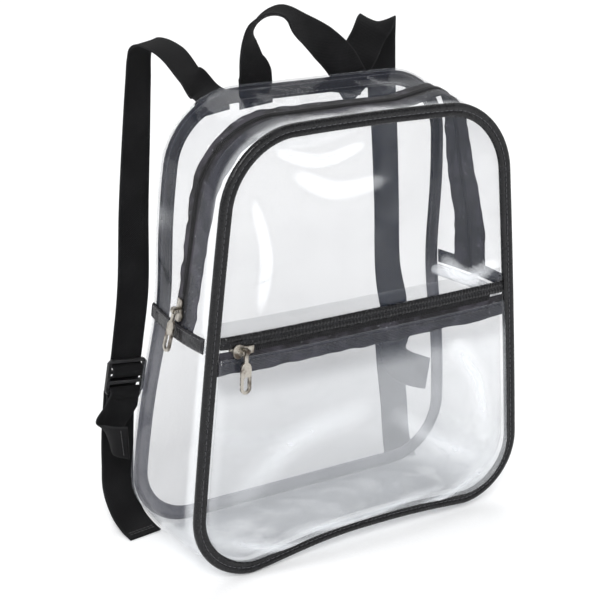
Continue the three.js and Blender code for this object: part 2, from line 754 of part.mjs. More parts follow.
function smooth(stations, perSpan) {
  const curve = new THREE.CatmullRomCurve3(stations.map((s) => s.place), false, 'centripetal');
  const spans = stations.length - 1;
  return spread(0, spans, spans * perSpan).map((at) => {
    const k = Math.min(spans - 1, Math.floor(at));
    const width = stations[k].width.clone().lerp(stations[k + 1].width, at - k).normalize();
    return { place: curve.getPoint(at / spans), width };
  });
}

function ribbon(stations, floor = false) {
  const sections = stations.map(({ place, width }, i) => {
    const before = stations[Math.max(0, i - 1)].place;
    const after = stations[Math.min(stations.length - 1, i + 1)].place;
    const along = after.clone().sub(before).normalize();
    const wide = width.clone().addScaledVector(along, -width.dot(along)).normalize();
    const thick = along.clone().cross(wide).multiplyScalar(webbingThickness / 2);
    wide.multiplyScalar(webbingWidth / 2);
    const corners = [[1, 1], [-1, 1], [-1, -1], [1, -1]].map(([w, t]) => place.clone()
      .addScaledVector(wide, w).addScaledVector(thick, t));
    return floor ? corners.map((p) => p.setZ(Math.max(0, p.z))) : corners;
  });
  return sweep(sections);
}

// Handle: places are shares of the top's half width and of the handle's rise
const handleTable = [
  { side: -0.43, behind: 0.05, rise: 0.33, turn: 21, lean: -9 },
  { side: -0.43, behind: 0.09, rise: 0.58, turn: 37, lean: -10 },
  { side: -0.4, behind: 0.14, rise: 0.76, turn: 50, lean: -9 },
  { side: -0.31, behind: 0.17, rise: 0.9, turn: 52, lean: -4 },
  { side: -0.19, behind: 0.17, rise: 0.91, turn: 44, lean: 2 },
  { side: -0.04, behind: 0.14, rise: 0.69, turn: 34, lean: 20 },
  { side: 0.09, behind: 0.08, rise: 0.46, turn: 14, lean: 32 },
];

function handle() {
  const loop = handleTable.map((row) => {
    const z = backHeight + row.rise * handleRise;
    const y = backY(backHeight) + sheet + gap + row.behind * strapReach;
    return { place: new THREE.Vector3(row.side * topWidth / 2, y, z), width: widthDirection(row) };
  });
  const left = sewnEnd({ side: -0.4, lean: -2, drift: 0.1, over: 0.3 });
  const right = sewnEnd({ side: 0.27, lean: 40, drift: 0.75, over: 0.5 });
  return ribbon(smooth([...left, ...loop, ...right.reverse()], 3));
}

// Shoulder straps, from the top of the back down to the ladder lock, then the free tail
const straps = {
  left: {
    sewn: { side: -0.7, lean: 4, drift: 0.15, over: -0.3, layer: 0.9 },
    upper: [
      { side: -0.72, behind: 0.25, up: 0.99, turn: 13, lean: 7 },
      { side: -0.79, behind: 0.34, up: 1.02, turn: 24, lean: 1 },
      { side: -0.85, behind: 0.61, up: 1.06, turn: 21, lean: 3 },
      { side: -0.92, behind: 0.86, up: 1.078, turn: 28, lean: 4 },
      { side: -0.96, behind: 1.01, up: 1.076, turn: 23, lean: 2 },
      { side: -0.97, behind: 1.11, up: 1.052, turn: 26, lean: -5 },
      { side: -0.98, behind: 1.1, up: 0.996, turn: 22, lean: -9 },
      { side: -1.01, behind: 1.0, up: 0.892, turn: 17, lean: -10 },
      { side: -1.04, behind: 0.92, up: 0.717, turn: 11, lean: -11 },
      { side: -1.06, behind: 0.83, up: 0.538, turn: 6, lean: -11 },
    ],
    lock: { side: -1.12, behind: 0.77, up: 0.34, turn: 7, lean: -9 },
    tail: [
      { side: -1.15, behind: 0.9, up: 0.2, turn: 2, lean: -11 },
      { side: -1.155, behind: 0.87, up: 0.129, turn: 1, lean: -11 },
      { side: -1.18, behind: 0.69, up: 0.068, turn: 3, lean: -8 },
      { side: -1.18, behind: 0.34, up: 0.025, turn: 0, lean: -4 },
      { side: -1.17, behind: 0.03, up: 0.008, turn: 0, lean: -1 },
      { side: -1.16, behind: -0.2, up: 0.002, turn: 0, lean: 0 },
    ],
    lower: [
      { side: -1.2, behind: 0.7, up: 0.256, turn: 10, lean: -32 },
      { side: -1.275, behind: 0.66, up: 0.222, turn: 14, lean: -60 },
      { side: -1.27, behind: 0.44, up: 0.21, turn: 40, lean: -76 },
      { side: -1.205, behind: 0.22, up: 0.21, turn: 62, lean: -84 },
    ],
  },
  right: {
    sewn: { side: 0.33, lean: -2, drift: -0.2, over: -0.2, layer: 2.5 },
    upper: [
      { side: 0.4, behind: 0.25, up: 1.022, turn: 0, lean: -4 },
      { side: 0.49, behind: 0.4, up: 1.047, turn: 0, lean: -5 },
      { side: 0.59, behind: 0.58, up: 1.078, turn: 0, lean: -5 },
      { side: 0.67, behind: 0.72, up: 1.084, turn: 0, lean: -7 },
      { side: 0.72, behind: 0.81, up: 1.066, turn: 0, lean: -6 },
      { side: 0.73, behind: 0.81, up: 1.03, turn: 0, lean: -5 },
      { side: 0.74, behind: 0.73, up: 0.924, turn: 3, lean: -6 },
      { side: 0.76, behind: 0.67, up: 0.843, turn: 8, lean: -8 },
      { side: 0.8, behind: 0.6, up: 0.664, turn: 10, lean: -10 },
      { side: 0.84, behind: 0.56, up: 0.486, turn: 9, lean: -6 },
    ],
    lock: { side: 0.92, behind: 0.54, up: 0.33, turn: 5, lean: -2 },
    tail: [
      { side: 0.97, behind: 0.68, up: 0.19, turn: 2, lean: -8 },
      { side: 0.99, behind: 0.62, up: 0.12, turn: 1, lean: -8 },
      { side: 0.98, behind: 0.46, up: 0.045, turn: 0, lean: -5 },
      { side: 0.96, behind: 0.28, up: 0.012, turn: 0, lean: -2 },
      { side: 0.94, behind: 0.12, up: 0.002, turn: 0, lean: 0 },
    ],
    lower: [
      { side: 0.96, behind: 0.5, up: 0.24, turn: 10, lean: 16 },
      { side: 1.06, behind: 0.47, up: 0.215, turn: 20, lean: 54 },
      { side: 1.11, behind: 0.34, up: 0.21, turn: 60, lean: 76 },
      { side: 1.15, behind: 0.2, up: 0.208, turn: 90, lean: 84 },
    ],
  },
};

// A lock's frame: across the webbing, up along it, and back away from the bag
function lockFrame(row) {
  const centre = station(row).place;
  const across = widthDirection(row);
  const up = new THREE.Vector3(0, 0, 1).addScaledVector(across, -across.z).normalize();
  const back = up.clone().cross(across);
  return { centre, across, up, back };
}

const lockPitch = lockBar + lockSlot;
const lockHeight = lockBars * lockBar + (lockBars - 1) * lockSlot;
const barHeight = (k) => lockHeight / 2 - lockBar / 2 - k * lockPitch;
const besideBar = lockThickness / 2 + gap + webbingThickness / 2;

function inLock(frame, rows) {
  return rows.map(({ back, up }) => ({
    place: frame.centre.clone().addScaledVector(frame.back, back).addScaledVector(frame.up, up),
    width: frame.across.clone(),
  }));
}

function ladderLock(row) {
  const frame = lockFrame(row);
  const shape = new THREE.Shape();
  const halfWide = lockWidth / 2;
  const halfTall = lockHeight / 2;
  const corner = lockBar;
  shape.moveTo(-halfWide + corner, -halfTall);
  shape.lineTo(halfWide - corner, -halfTall);
  shape.lineTo(halfWide, -halfTall + corner);
  shape.lineTo(halfWide, halfTall - corner);
  shape.lineTo(halfWide - corner, halfTall);
  shape.lineTo(-halfWide + corner, halfTall);
  shape.lineTo(-halfWide, halfTall - corner);
  shape.lineTo(-halfWide, -halfTall + corner);
  const slotHalf = webbingWidth / 2 + 2 * gap;
  for (let k = 0; k + 1 < lockBars; k++) {
    const top = barHeight(k) - lockBar / 2;
    const hole = new THREE.Path();
    hole.moveTo(-slotHalf, top);
    hole.lineTo(slotHalf, top);
    hole.lineTo(slotHalf, top - lockSlot);
    hole.lineTo(-slotHalf, top - lockSlot);
    shape.holes.push(hole);
  }
  const body = plate(shape, lockThickness);
  const basis = new THREE.Matrix4().makeBasis(frame.across, frame.back, frame.up);
  return body.applyMatrix4(basis.setPosition(frame.centre));
}

// The webbing passes behind the first bar, before the second and behind the rest
function threading() {
  const cross = lockBar * 0.3;
  const slot = (k) => barHeight(k) - lockBar / 2 - lockSlot / 2;
  return [
    { back: besideBar, up: barHeight(0) + lockPitch },
    { back: besideBar, up: barHeight(0) },
    { back: besideBar, up: slot(0) + 2 * cross },
    { back: 0, up: slot(0) },
    { back: -besideBar, up: slot(0) - 2 * cross },
    { back: -besideBar, up: slot(1) + 2 * cross },
    { back: 0, up: slot(1) },
    { back: besideBar, up: slot(1) - 2 * cross },
    { back: besideBar + 0.3 * webbingThickness, up: barHeight(2) },
    { back: 2 * besideBar + webbingThickness / 2, up: barHeight(3) },
  ];
}

function shoulderStrap(strap) {
  const frame = lockFrame(strap.lock);
  const weave = inLock(frame, threading());
  const upper = smooth([...sewnEnd(strap.sewn), ...strap.upper.map(station), weave[0]], 2);
  const tail = smooth([weave.at(-1), ...strap.tail.map(station)], 3);
  return ribbon([...upper.slice(0, -1), ...weave.slice(0, -1), ...tail], true);
}

// The lower strap is folded over the last bar and runs to the back seam
function lowerStrap(strap) {
  const frame = lockFrame(strap.lock);
  const bar = barHeight(lockBars - 1);
  const over = lockBar / 2 + 2 * gap + webbingThickness / 2;
  const round = besideBar + gap;
  const beside = (webbingThickness + gap) / 2;
  const hem = lockSlot;
  const fold = inLock(frame, [
    { back: beside, up: bar - over - hem },
    { back: beside, up: bar - 2 * over },
    { back: round, up: bar - lockBar / 2 },
    { back: round, up: bar + lockBar / 2 },
    { back: 0, up: bar + over + 2 * gap },
    { back: -round, up: bar + lockBar / 2 },
    { back: -round, up: bar - lockBar / 2 },
    { back: -beside, up: bar - 2 * over },
    { back: -beside - gap, up: bar - over - hem },
  ]);
  const run = smooth([fold.at(-1), ...strap.lower.map(station)], 4);
  return ribbon([...fold.slice(0, -1), ...run]);
}

// The finished object
const backpack = new THREE.Group();

function addPiece(name, geometry, finish, parent = backpack) {
  const mesh = new THREE.Mesh(geometry, new THREE.MeshStandardMaterial(finishes[finish]));
  mesh.name = name;
  parent.add(mesh);
  return mesh;
}

addPiece('back_panel', backPanel(), 'clear');
addPiece('front_panel', frontPanel(), 'clear');
addPiece('pocket_panel', pocketPanel(), 'clear');
addPiece('pocket_back', pocketBack(), 'clear');
addPiece('gusset_lower', gussetLower(), 'clear');
addPiece('gusset_rear', gussetRear(), 'clear');
addPiece('gusset_front', gussetFront(), 'clear');
addPiece('front_binding', frontBinding(), 'trim');
addPiece('back_seam_tape', backSeamTape(), 'trim');
addPiece('seam_strip_left', seamStrip(-1), 'trim');
addPiece('seam_strip_right', seamStrip(1), 'trim');
addPiece('main_zip_tape_rear', mainTape(1), 'tape');
addPiece('main_zip_tape_front', mainTape(-1), 'tape');
addPiece('main_zip_coil', mainCoil(), 'tape');
const tapeTop = pocketZipHeight + pocketTapeUpper;
const tapeBottom = pocketZipHeight - pocketTapeLower;
addPiece('pocket_zip_tape_upper', pocketTape(pocketZipHeight + coilWidth / 2 + gap, tapeTop), 'tape');
addPiece('pocket_zip_tape_lower', pocketTape(tapeBottom, pocketZipHeight - coilWidth / 2 - gap), 'tape');
addPiece('pocket_zip_coil', pocketCoil(), 'tape');

const pocketGroup = new THREE.Group();
const pocketSeat = frontSkin(pocketSliderX, pocketZipHeight) + tapeLayer;
pocketGroup.position.set(pocketSliderX, pocketSeat, pocketZipHeight);
backpack.add(pocketGroup);
addPiece('pocket_zip_slider', slider(true), 'metal', pocketGroup);
const pocketPull = addPiece('pocket_zip_pull', pull(), 'metal', pocketGroup);
pocketPull.position.set(0, -pinOut, 0);

// On the left side the slider lies along the zip's line, with the pull's side facing -X
const mainGroup = new THREE.Group();
const mainSeat = mainLineAt(mainSliderHeight, coilInset);
const mainOut = new THREE.Vector3(-1, 0, 0).addScaledVector(mainSeat.along, mainSeat.along.x).normalize();
const mainAcross = mainOut.clone().negate().cross(mainSeat.along);
const mainBasis = new THREE.Matrix4().makeBasis(mainAcross, mainOut.clone().negate(), mainSeat.along);
mainGroup.applyMatrix4(mainBasis.setPosition(mainSeat.point));
backpack.add(mainGroup);
addPiece('main_zip_slider', slider(false).rotateY(-Math.PI / 2), 'metal', mainGroup);
const mainPull = addPiece('main_zip_pull', pull(), 'metal', mainGroup);
mainPull.position.set(0, -pinOut, 0);
mainPull.rotation.x = -degrees(mainPullTilt);

addPiece('handle', handle(), 'webbing');
for (const [side, strap] of Object.entries(straps)) {
  addPiece(`shoulder_strap_${side}`, shoulderStrap(strap), 'webbing');
  addPiece(`lower_strap_${side}`, lowerStrap(strap), 'webbing');
  addPiece(`ladder_lock_${side}`, ladderLock(strap.lock), 'plastic');
}

export default backpack;
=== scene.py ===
"""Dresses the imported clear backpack: vinyl sheets, bound edges, zips, webbing, locks and the studio."""

import logging
import math
from dataclasses import dataclass
from enum import Enum
from typing import Callable, Mapping, Sequence

import bmesh
import bpy
import numpy as np
from mathutils import Matrix, Vector, noise


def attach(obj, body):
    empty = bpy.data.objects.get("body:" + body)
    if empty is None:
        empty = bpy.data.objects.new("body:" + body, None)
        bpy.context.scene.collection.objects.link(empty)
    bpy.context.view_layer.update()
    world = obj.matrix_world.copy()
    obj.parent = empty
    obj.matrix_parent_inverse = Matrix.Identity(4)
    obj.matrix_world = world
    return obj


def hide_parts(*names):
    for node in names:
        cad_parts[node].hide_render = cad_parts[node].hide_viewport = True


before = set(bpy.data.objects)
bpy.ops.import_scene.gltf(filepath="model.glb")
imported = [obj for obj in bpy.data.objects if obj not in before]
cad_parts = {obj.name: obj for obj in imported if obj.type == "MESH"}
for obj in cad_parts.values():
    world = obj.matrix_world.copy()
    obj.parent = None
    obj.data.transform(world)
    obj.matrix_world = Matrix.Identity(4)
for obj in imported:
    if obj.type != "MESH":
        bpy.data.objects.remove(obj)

LOG = logging.getLogger("backpack")
MM = 0.001
Colour = tuple[float, float, float, float]


class Body(str, Enum):
    """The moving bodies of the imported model."""

    BAG = "bag"
    POCKET_PULL = "pocket_pull"
    MAIN_PULL = "main_pull"


class Slot(str, Enum):
    """The record's material slots."""

    SHEET = "clear_sheet"
    BINDING = "binding"
    TAPE = "zip_tape"
    COIL = "zip_coil"
    METAL = "metal"
    WEBBING = "webbing"
    LOCK = "lock_plastic"


class Panel(Enum):
    """The four flat sheets of the bag."""

    FRONT = "front"
    POCKET = "pocket"
    WALL = "wall"
    BACK = "back"


# Shader expressions


class Wire:
    """A shader socket that Python operators work on."""

    def __init__(self, graph: "Graph", socket: bpy.types.NodeSocket) -> None:
        """Keeps the socket."""
        self.graph = graph
        self.socket = socket

    def math(self, operation: str, *values: "Wire | float") -> "Wire":
        """Adds one Math node."""
        return self.graph.node("ShaderNodeMath", {"operation": operation}, dict(enumerate(values)))

    def __add__(self, other: "Wire | float") -> "Wire":
        """Returns self + other."""
        return self.math("ADD", self, other)

    def __radd__(self, other: "Wire | float") -> "Wire":
        """Returns other + self."""
        return self.math("ADD", other, self)

    def __sub__(self, other: "Wire | float") -> "Wire":
        """Returns self - other."""
        return self.math("SUBTRACT", self, other)

    def __rsub__(self, other: "Wire | float") -> "Wire":
        """Returns other - self."""
        return self.math("SUBTRACT", other, self)

    def __mul__(self, other: "Wire | float") -> "Wire":
        """Returns self * other."""
        return self.math("MULTIPLY", self, other)

    def __rmul__(self, other: "Wire | float") -> "Wire":
        """Returns other * self."""
        return self.math("MULTIPLY", other, self)

    def __pow__(self, other: "Wire | float") -> "Wire":
        """Returns self to the power of other."""
        return self.math("POWER", self, other)

    def sine(self) -> "Wire":
        """Returns the sine of self."""
        return self.math("SINE", self)

    def size(self) -> "Wire":
        """Returns self without its sign."""
        return self.math("ABSOLUTE", self)

    def capped(self, high: float) -> "Wire":
        """Returns self, at most high."""
        return self.math("MINIMUM", self, high)

    def step(self, low: float, high: float) -> "Wire":
        """Rises smoothly from 0 at low to 1 at high."""
        settings = {"interpolation_type": "SMOOTHSTEP"}
        return self.graph.node("ShaderNodeMapRange", settings, {0: self, 1: low, 2: high})


class Graph:
    """One material's node tree."""

    def __init__(self, name: str) -> None:
        """Starts an empty material.

        Args:
            name: The material's name.
        """
        self.material = bpy.data.materials.new(name)
        self.material.use_nodes = True
        self.tree = self.material.node_tree
        self.tree.nodes.clear()

    def node(
        self,
        kind: str,
        settings: Mapping[str, object] | None = None,
        inputs: Mapping[int | str, object] | None = None,
        output: int | str = 0,
    ) -> Wire:
        """Adds any node.

        Args:
            kind: The node's type.
            settings: Its properties, set before the sockets.
            inputs: Values or wires by socket name or number.
            output: The output that is returned.

        Returns:
            The chosen output.
        """
        made = self.tree.nodes.new(kind)
        for key, value in (settings or {}).items():
            setattr(made, key, value)
        for key, value in (inputs or {}).items():
            socket = made.inputs[key]
            if isinstance(value, Wire):
                self.tree.links.new(value.socket, socket)
            else:
                socket.default_value = value
        return Wire(self, made.outputs[output])

    def mix(self, factor: "Wire | float", first: object, second: object) -> Wire:
        """Mixes two colours."""
        inputs = {0: factor, 6: first, 7: second}
        return self.node("ShaderNodeMix", {"data_type": "RGBA"}, inputs, 2)

    def place(self, stretch: tuple[float, float, float] = (1.0, 1.0, 1.0)) -> Wire:
        """The point in the bag's own frame."""
        point = self.node("ShaderNodeTexCoord", output="Object")
        return self.node("ShaderNodeVectorMath", {"operation": "MULTIPLY"}, {0: point, 1: stretch})

    def parts(self, vector: Wire) -> list[Wire]:
        """The three numbers of a vector."""
        split = self.node("ShaderNodeSeparateXYZ", {}, {0: vector}).socket.node
        return [Wire(self, split.outputs[k]) for k in range(3)]

    def run(self) -> list[Wire]:
        """The piece's own measures: millimetres along it, millimetres across it, and its milkiness and painted
        highlight.
        """
        return self.parts(self.node("ShaderNodeAttribute", {"attribute_name": "run"}, output="Vector"))

    def noise(self, scale: float, detail: float = 3.0, where: Wire | None = None, bend: float = 0.0) -> Wire:
        """Soft noise from 0 to 1."""
        inputs = {"Vector": where or self.place(), "Scale": scale, "Detail": detail, "Distortion": bend}
        return self.node("ShaderNodeTexNoise", {}, inputs)

    def bump(self, height: Wire, depth: float, strength: float = 1.0) -> Wire:
        """A bumped normal."""
        inputs = {"Strength": strength, "Distance": depth, "Height": height}
        return self.node("ShaderNodeBump", {}, inputs)

    def surface(self, inputs: Mapping[str, object]) -> bpy.types.Material:
        """Ends the tree with a Principled shader.

        Args:
            inputs: The shader's values and wires.

        Returns:
            The finished material.
        """
        shader = self.node("ShaderNodeBsdfPrincipled", {}, inputs)
        self.tree.links.new(shader.socket, self.tree.nodes.new("ShaderNodeOutputMaterial").inputs["Surface"])
        return self.material


# Finishes


@dataclass(frozen=True)
class ClearVinyl:
    """Clear vinyl sheet: faint blue-grey body, gloss and fine crumples; its white creases, streaks and clouds are
    painted highlight and reflection, with some milkiness.
    """

    body: Colour = (0.05, 0.065, 0.11, 1.0)
    # The white of the milkiness and of the painted highlights.
    milk_and_highlight: Colour = (0.93, 0.96, 1.0, 1.0)
    thinnest: float = 0.08
    clouds: float = 0.025
    rim: float = 0.05
    crumple_scale: float = 20.0
    crumple_depth: float = 0.004

    def material(self) -> bpy.types.Material:
        """Builds the material.

        Returns:
            The clear vinyl.
        """
        graph = Graph("clear_vinyl")
        # The run's third value: milkiness and painted highlight on creases, folds and edges.
        milk_and_highlight = graph.run()[2]
        broad = graph.noise(self.crumple_scale * 0.5, 2.0, bend=0.6)
        fine = graph.noise(self.crumple_scale, 1.5, bend=0.9)
        ridge = (1.0 - ((fine - 0.5) * 2.0).size()) ** 8.0
        # Broad clouds that raise the opacity and add a little painted white reflection.
        cloud = broad.step(0.5, 0.75)
        facing = graph.node("ShaderNodeLayerWeight", {}, {"Blend": 0.2}, "Facing")
        # Painted highlight streaks along fine ridges, in the clouds and on the creases.
        highlight_streaks = ridge * (cloud * 0.12 + milk_and_highlight * 0.5)
        alpha = (self.thinnest + cloud * self.clouds + facing * self.rim + milk_and_highlight * 0.5 + highlight_streaks * 0.4).capped(0.92)
        # The share of painted white from creases, streaks and clouds.
        white = (milk_and_highlight.step(0.02, 0.1) + highlight_streaks + cloud * 0.1).capped(1.0)
        height = ridge * 0.25 + broad + fine * 0.3
        return graph.surface({
            "Base Color": graph.mix(white, self.body, self.milk_and_highlight),
            "Roughness": 0.06 + milk_and_highlight * 0.22 + broad * 0.06,
            "Alpha": alpha,
            "IOR": 1.54,
            "Specular IOR Level": 1.0,
            "Coat Weight": 1.0,
            "Coat Roughness": 0.04,
            "Coat IOR": 1.9,
            "Normal": graph.bump(height, self.crumple_depth),
        })


@dataclass(frozen=True)
class BoundEdge:
    """Glossy black bound edge with rubbed patches; the run's third value greys a line: a painted highlight in the
    groove of the front binding and the pocket's upper tape, a paler line along the stitching of the seam strips and
    the back tape.
    """

    name: str = "bound_edge"
    black: Colour = (0.005, 0.005, 0.006, 1.0)
    worn: Colour = (0.022, 0.022, 0.026, 1.0)
    pale: Colour = (0.005, 0.005, 0.006, 1.0)
    pale_below: float = -1.0
    gloss: float = 0.24
    grain: float = 900.0

    def material(self) -> bpy.types.Material:
        """Builds the material.

        Returns:
            The bound edge's finish.
        """
        graph = Graph(self.name)
        # On the front binding and the pocket's upper tape this greys the groove between the lobes, a painted highlight
        # line; the rubbed patches are wear.
        groove = graph.run()[2]
        height = graph.parts(graph.place())[2]
        rubbed = graph.noise(120.0, 4.0).step(0.52, 0.75)
        grain = graph.noise(self.grain, 3.0)
        wrinkle = graph.noise(70.0, 3.0, bend=1.0)
        low = 1.0 - height.step(self.pale_below, self.pale_below + 0.05)
        base = graph.mix(low, self.black, self.pale)
        return graph.surface({
            "Base Color": graph.mix((groove * 0.8 + rubbed * 0.3).capped(1.0), base, self.worn),
            "Roughness": self.gloss + rubbed * 0.14 + grain * 0.06,
            "Specular IOR Level": 0.25,
            "Coat Weight": 0.14,
            "Coat Roughness": 0.1,
            "Normal": graph.bump(grain * 0.15 + wrinkle, 0.0012),
        })


@dataclass(frozen=True)
class ZipTapeCloth:
    """Woven zip tape: ribs along it, dark purple-grey with pale specks."""

    dark: Colour = (0.007, 0.0068, 0.0085, 1.0)
    grey: Colour = (0.045, 0.041, 0.054, 1.0)
    speck: Colour = (0.42, 0.43, 0.46, 1.0)
    rib: float = 1.1

    def material(self) -> bpy.types.Material:
        """Builds the material.

        Returns:
            The woven tape.
        """
        graph = Graph("zip_tape_cloth")
        along, across, _ = graph.run()
        ribs = (across * (math.tau / self.rib)).sine() * 0.5 + 0.5
        weft = (along * (math.tau / 0.9)).sine() * 0.5 + 0.5
        patches = graph.noise(75.0, 4.0, bend=0.6).step(0.42, 0.66)
        specks = graph.noise(520.0, 2.0).step(0.63, 0.72) * graph.noise(60.0, 2.0).step(0.45, 0.65)
        cloth = graph.mix(patches * 0.75 + ribs * 0.12, self.dark, self.grey)
        return graph.surface({
            "Base Color": graph.mix(specks * 0.7, cloth, self.speck),
            "Roughness": 0.72 + weft * 0.12,
            "Specular IOR Level": 0.25,
            "Sheen Weight": 0.08,
            "Normal": graph.bump(ribs * 0.7 + weft * 0.3, 0.0004),
        })


@dataclass(frozen=True)
class CoilNylon:
    """Black nylon of the zip's coils."""

    black: Colour = (0.004, 0.004, 0.005, 1.0)
    lit: Colour = (0.016, 0.016, 0.018, 1.0)

    def material(self) -> bpy.types.Material:
        """Builds the material.

        Returns:
            The coil's nylon.
        """
        graph = Graph("coil_nylon")
        patches = graph.noise(260.0, 3.0)
        return graph.surface({
            "Base Color": graph.mix(patches.step(0.4, 0.7), self.black, self.lit),
            "Roughness": 0.32 + patches * 0.2,
            "Specular IOR Level": 0.35,
            "Normal": graph.bump(graph.noise(1500.0, 2.0), 0.0001),
        })


@dataclass(frozen=True)
class WovenWebbing:
    """Polypropylene webbing: a ribbed plain weave with sheen, fuzz and rubbed selvedges."""

    black: Colour = (0.002, 0.002, 0.0024, 1.0)
    thread: Colour = (0.009, 0.009, 0.01, 1.0)
    rubbed: Colour = (0.03, 0.03, 0.032, 1.0)
    half_width: float = 12.5
    pitch: float = 1.25

    def material(self) -> bpy.types.Material:
        """Builds the material.

        Returns:
            The webbing.
        """
        graph = Graph("woven_webbing")
        along, across, _ = graph.run()
        warp = (across * (math.tau / self.pitch)).sine()
        weft = (along * (math.tau / (self.pitch * 1.2))).sine()
        weave = (warp * weft) * 0.5 + 0.5
        rib = warp.size()
        selvedge = across.size().step(self.half_width - 1.6, self.half_width - 0.2)
        fuzz = graph.noise(900.0, 4.0)
        faded = graph.noise(28.0, 3.0).step(0.4, 0.75)
        cloth = graph.mix(weave * 0.45 + fuzz * 0.25, self.black, self.thread)
        return graph.surface({
            "Base Color": graph.mix((faded * 0.22 + selvedge * 0.3).capped(1.0), cloth, self.rubbed),
            "Roughness": 0.66 + fuzz * 0.2,
            "Specular IOR Level": 0.12,
            "Sheen Weight": 0.02,
            "Sheen Roughness": 0.4,
            "Normal": graph.bump(weave * 0.6 + rib * 0.3 + fuzz * 0.15, 0.0005),
        })


@dataclass(frozen=True)
class PlatedMetal:
    """Nickel-plated zinc: warm grey, small pits, darker in stained patches."""

    bright: Colour = (0.46, 0.43, 0.38, 1.0)
    dull: Colour = (0.1, 0.08, 0.065, 1.0)

    def material(self) -> bpy.types.Material:
        """Builds the material.

        Returns:
            The plated metal.
        """
        graph = Graph("plated_metal")
        stain = graph.noise(180.0, 4.0)
        pits = graph.noise(2200.0, 3.0)
        return graph.surface({
            "Base Color": graph.mix(stain.step(0.42, 0.66), self.bright, self.dull),
            "Metallic": 1.0,
            "Roughness": 0.2 + stain * 0.2,
            "Normal": graph.bump(pits * 0.5 + stain * 0.5, 0.0003),
        })


@dataclass(frozen=True)
class MouldedPlastic:
    """Black acetal with a fine moulded grain."""

    black: Colour = (0.005, 0.005, 0.0055, 1.0)
    worn: Colour = (0.03, 0.03, 0.032, 1.0)

    def material(self) -> bpy.types.Material:
        """Builds the material.

        Returns:
            The moulded plastic.
        """
        graph = Graph("moulded_plastic")
        grain = graph.noise(1400.0, 3.0)
        worn = graph.noise(140.0, 4.0).step(0.55, 0.75)
        return graph.surface({
            "Base Color": graph.mix(worn * 0.5, self.black, self.worn),
            "Roughness": 0.34 + grain * 0.15,
            "Normal": graph.bump(grain, 0.0002),
        })


@dataclass(frozen=True)
class SewingThread:
    """Dark polyester thread with a visible twist."""

    name: str = "sewing_thread"
    dark: Colour = (0.008, 0.008, 0.009, 1.0)
    light: Colour = (0.035, 0.035, 0.038, 1.0)

    def material(self) -> bpy.types.Material:
        """Builds the material.

        Returns:
            The thread.
        """
        graph = Graph(self.name)
        along, across, _ = graph.run()
        twist = ((along + across * 0.6) * (math.tau / 0.5)).sine() * 0.5 + 0.5
        return graph.surface({
            "Base Color": graph.mix(twist, self.dark, self.light),
            "Roughness": 0.5 + twist * 0.2,
            "Sheen Weight": 0.2,
            "Normal": graph.bump(twist, 0.0001),
        })


@dataclass(frozen=True)
class StudioFloor:
    """Matt pale paper under the bag."""

    pale: Colour = (0.93, 0.932, 0.935, 1.0)
    cool: Colour = (0.915, 0.92, 0.928, 1.0)

    def material(self) -> bpy.types.Material:
        """Builds the material.

        Returns:
            The paper.
        """
        graph = Graph("studio_paper")
        soft = graph.noise(2.0, 2.0)
        return graph.surface({
            "Base Color": graph.mix(soft, self.pale, self.cool),
            "Roughness": 0.9,
            "Normal": graph.bump(graph.noise(400.0, 3.0), 0.0002),
        })


@dataclass
class Finishes:
    """Every finish of the bag, built once."""

    vinyl: bpy.types.Material
    edge: bpy.types.Material
    seam: bpy.types.Material
    back_tape: bpy.types.Material
    tape: bpy.types.Material
    coil: bpy.types.Material
    webbing: bpy.types.Material
    metal: bpy.types.Material
    lock: bpy.types.Material
    thread: bpy.types.Material
    grey_thread: bpy.types.Material

    @classmethod
    def build(cls) -> "Finishes":
        """Builds all materials.

        Returns:
            The set of finishes.
        """
        smoky: Colour = (0.007, 0.0065, 0.008, 1.0)
        ash: Colour = (0.13, 0.13, 0.145, 1.0)
        specks: Colour = (0.04, 0.04, 0.05, 1.0)
        return cls(
            vinyl=ClearVinyl().material(),
            edge=BoundEdge().material(),
            seam=BoundEdge("seam_strip", (0.008, 0.008, 0.01, 1.0), (0.1, 0.1, 0.11, 1.0)).material(),
            back_tape=BoundEdge("back_tape", smoky, specks, ash, 0.13, 0.4, 500.0).material(),
            tape=ZipTapeCloth().material(),
            coil=CoilNylon().material(),
            webbing=WovenWebbing().material(),
            metal=PlatedMetal().material(),
            lock=MouldedPlastic().material(),
            thread=SewingThread().material(),
            grey_thread=SewingThread("grey_thread", (0.03, 0.03, 0.034, 1.0), (0.09, 0.09, 0.1, 1.0)).material(),
        )


# Mesh building, in millimetres


def smoothstep(value: np.ndarray | float, low: float, high: float) -> np.ndarray:
    """Rises smoothly from 0 at low to 1 at high."""
    share = np.clip((np.asarray(value, float) - low) / (high - low), 0.0, 1.0)
    return share * share * (3.0 - 2.0 * share)


def ripple(point: Sequence[float], scale: float, seed: float) -> float:
    """Seeded noise at a point."""
    x, y, z = (float(part) / scale for part in point)
    return noise.noise(Vector((x + seed, y - seed, z + 0.37 * seed)))


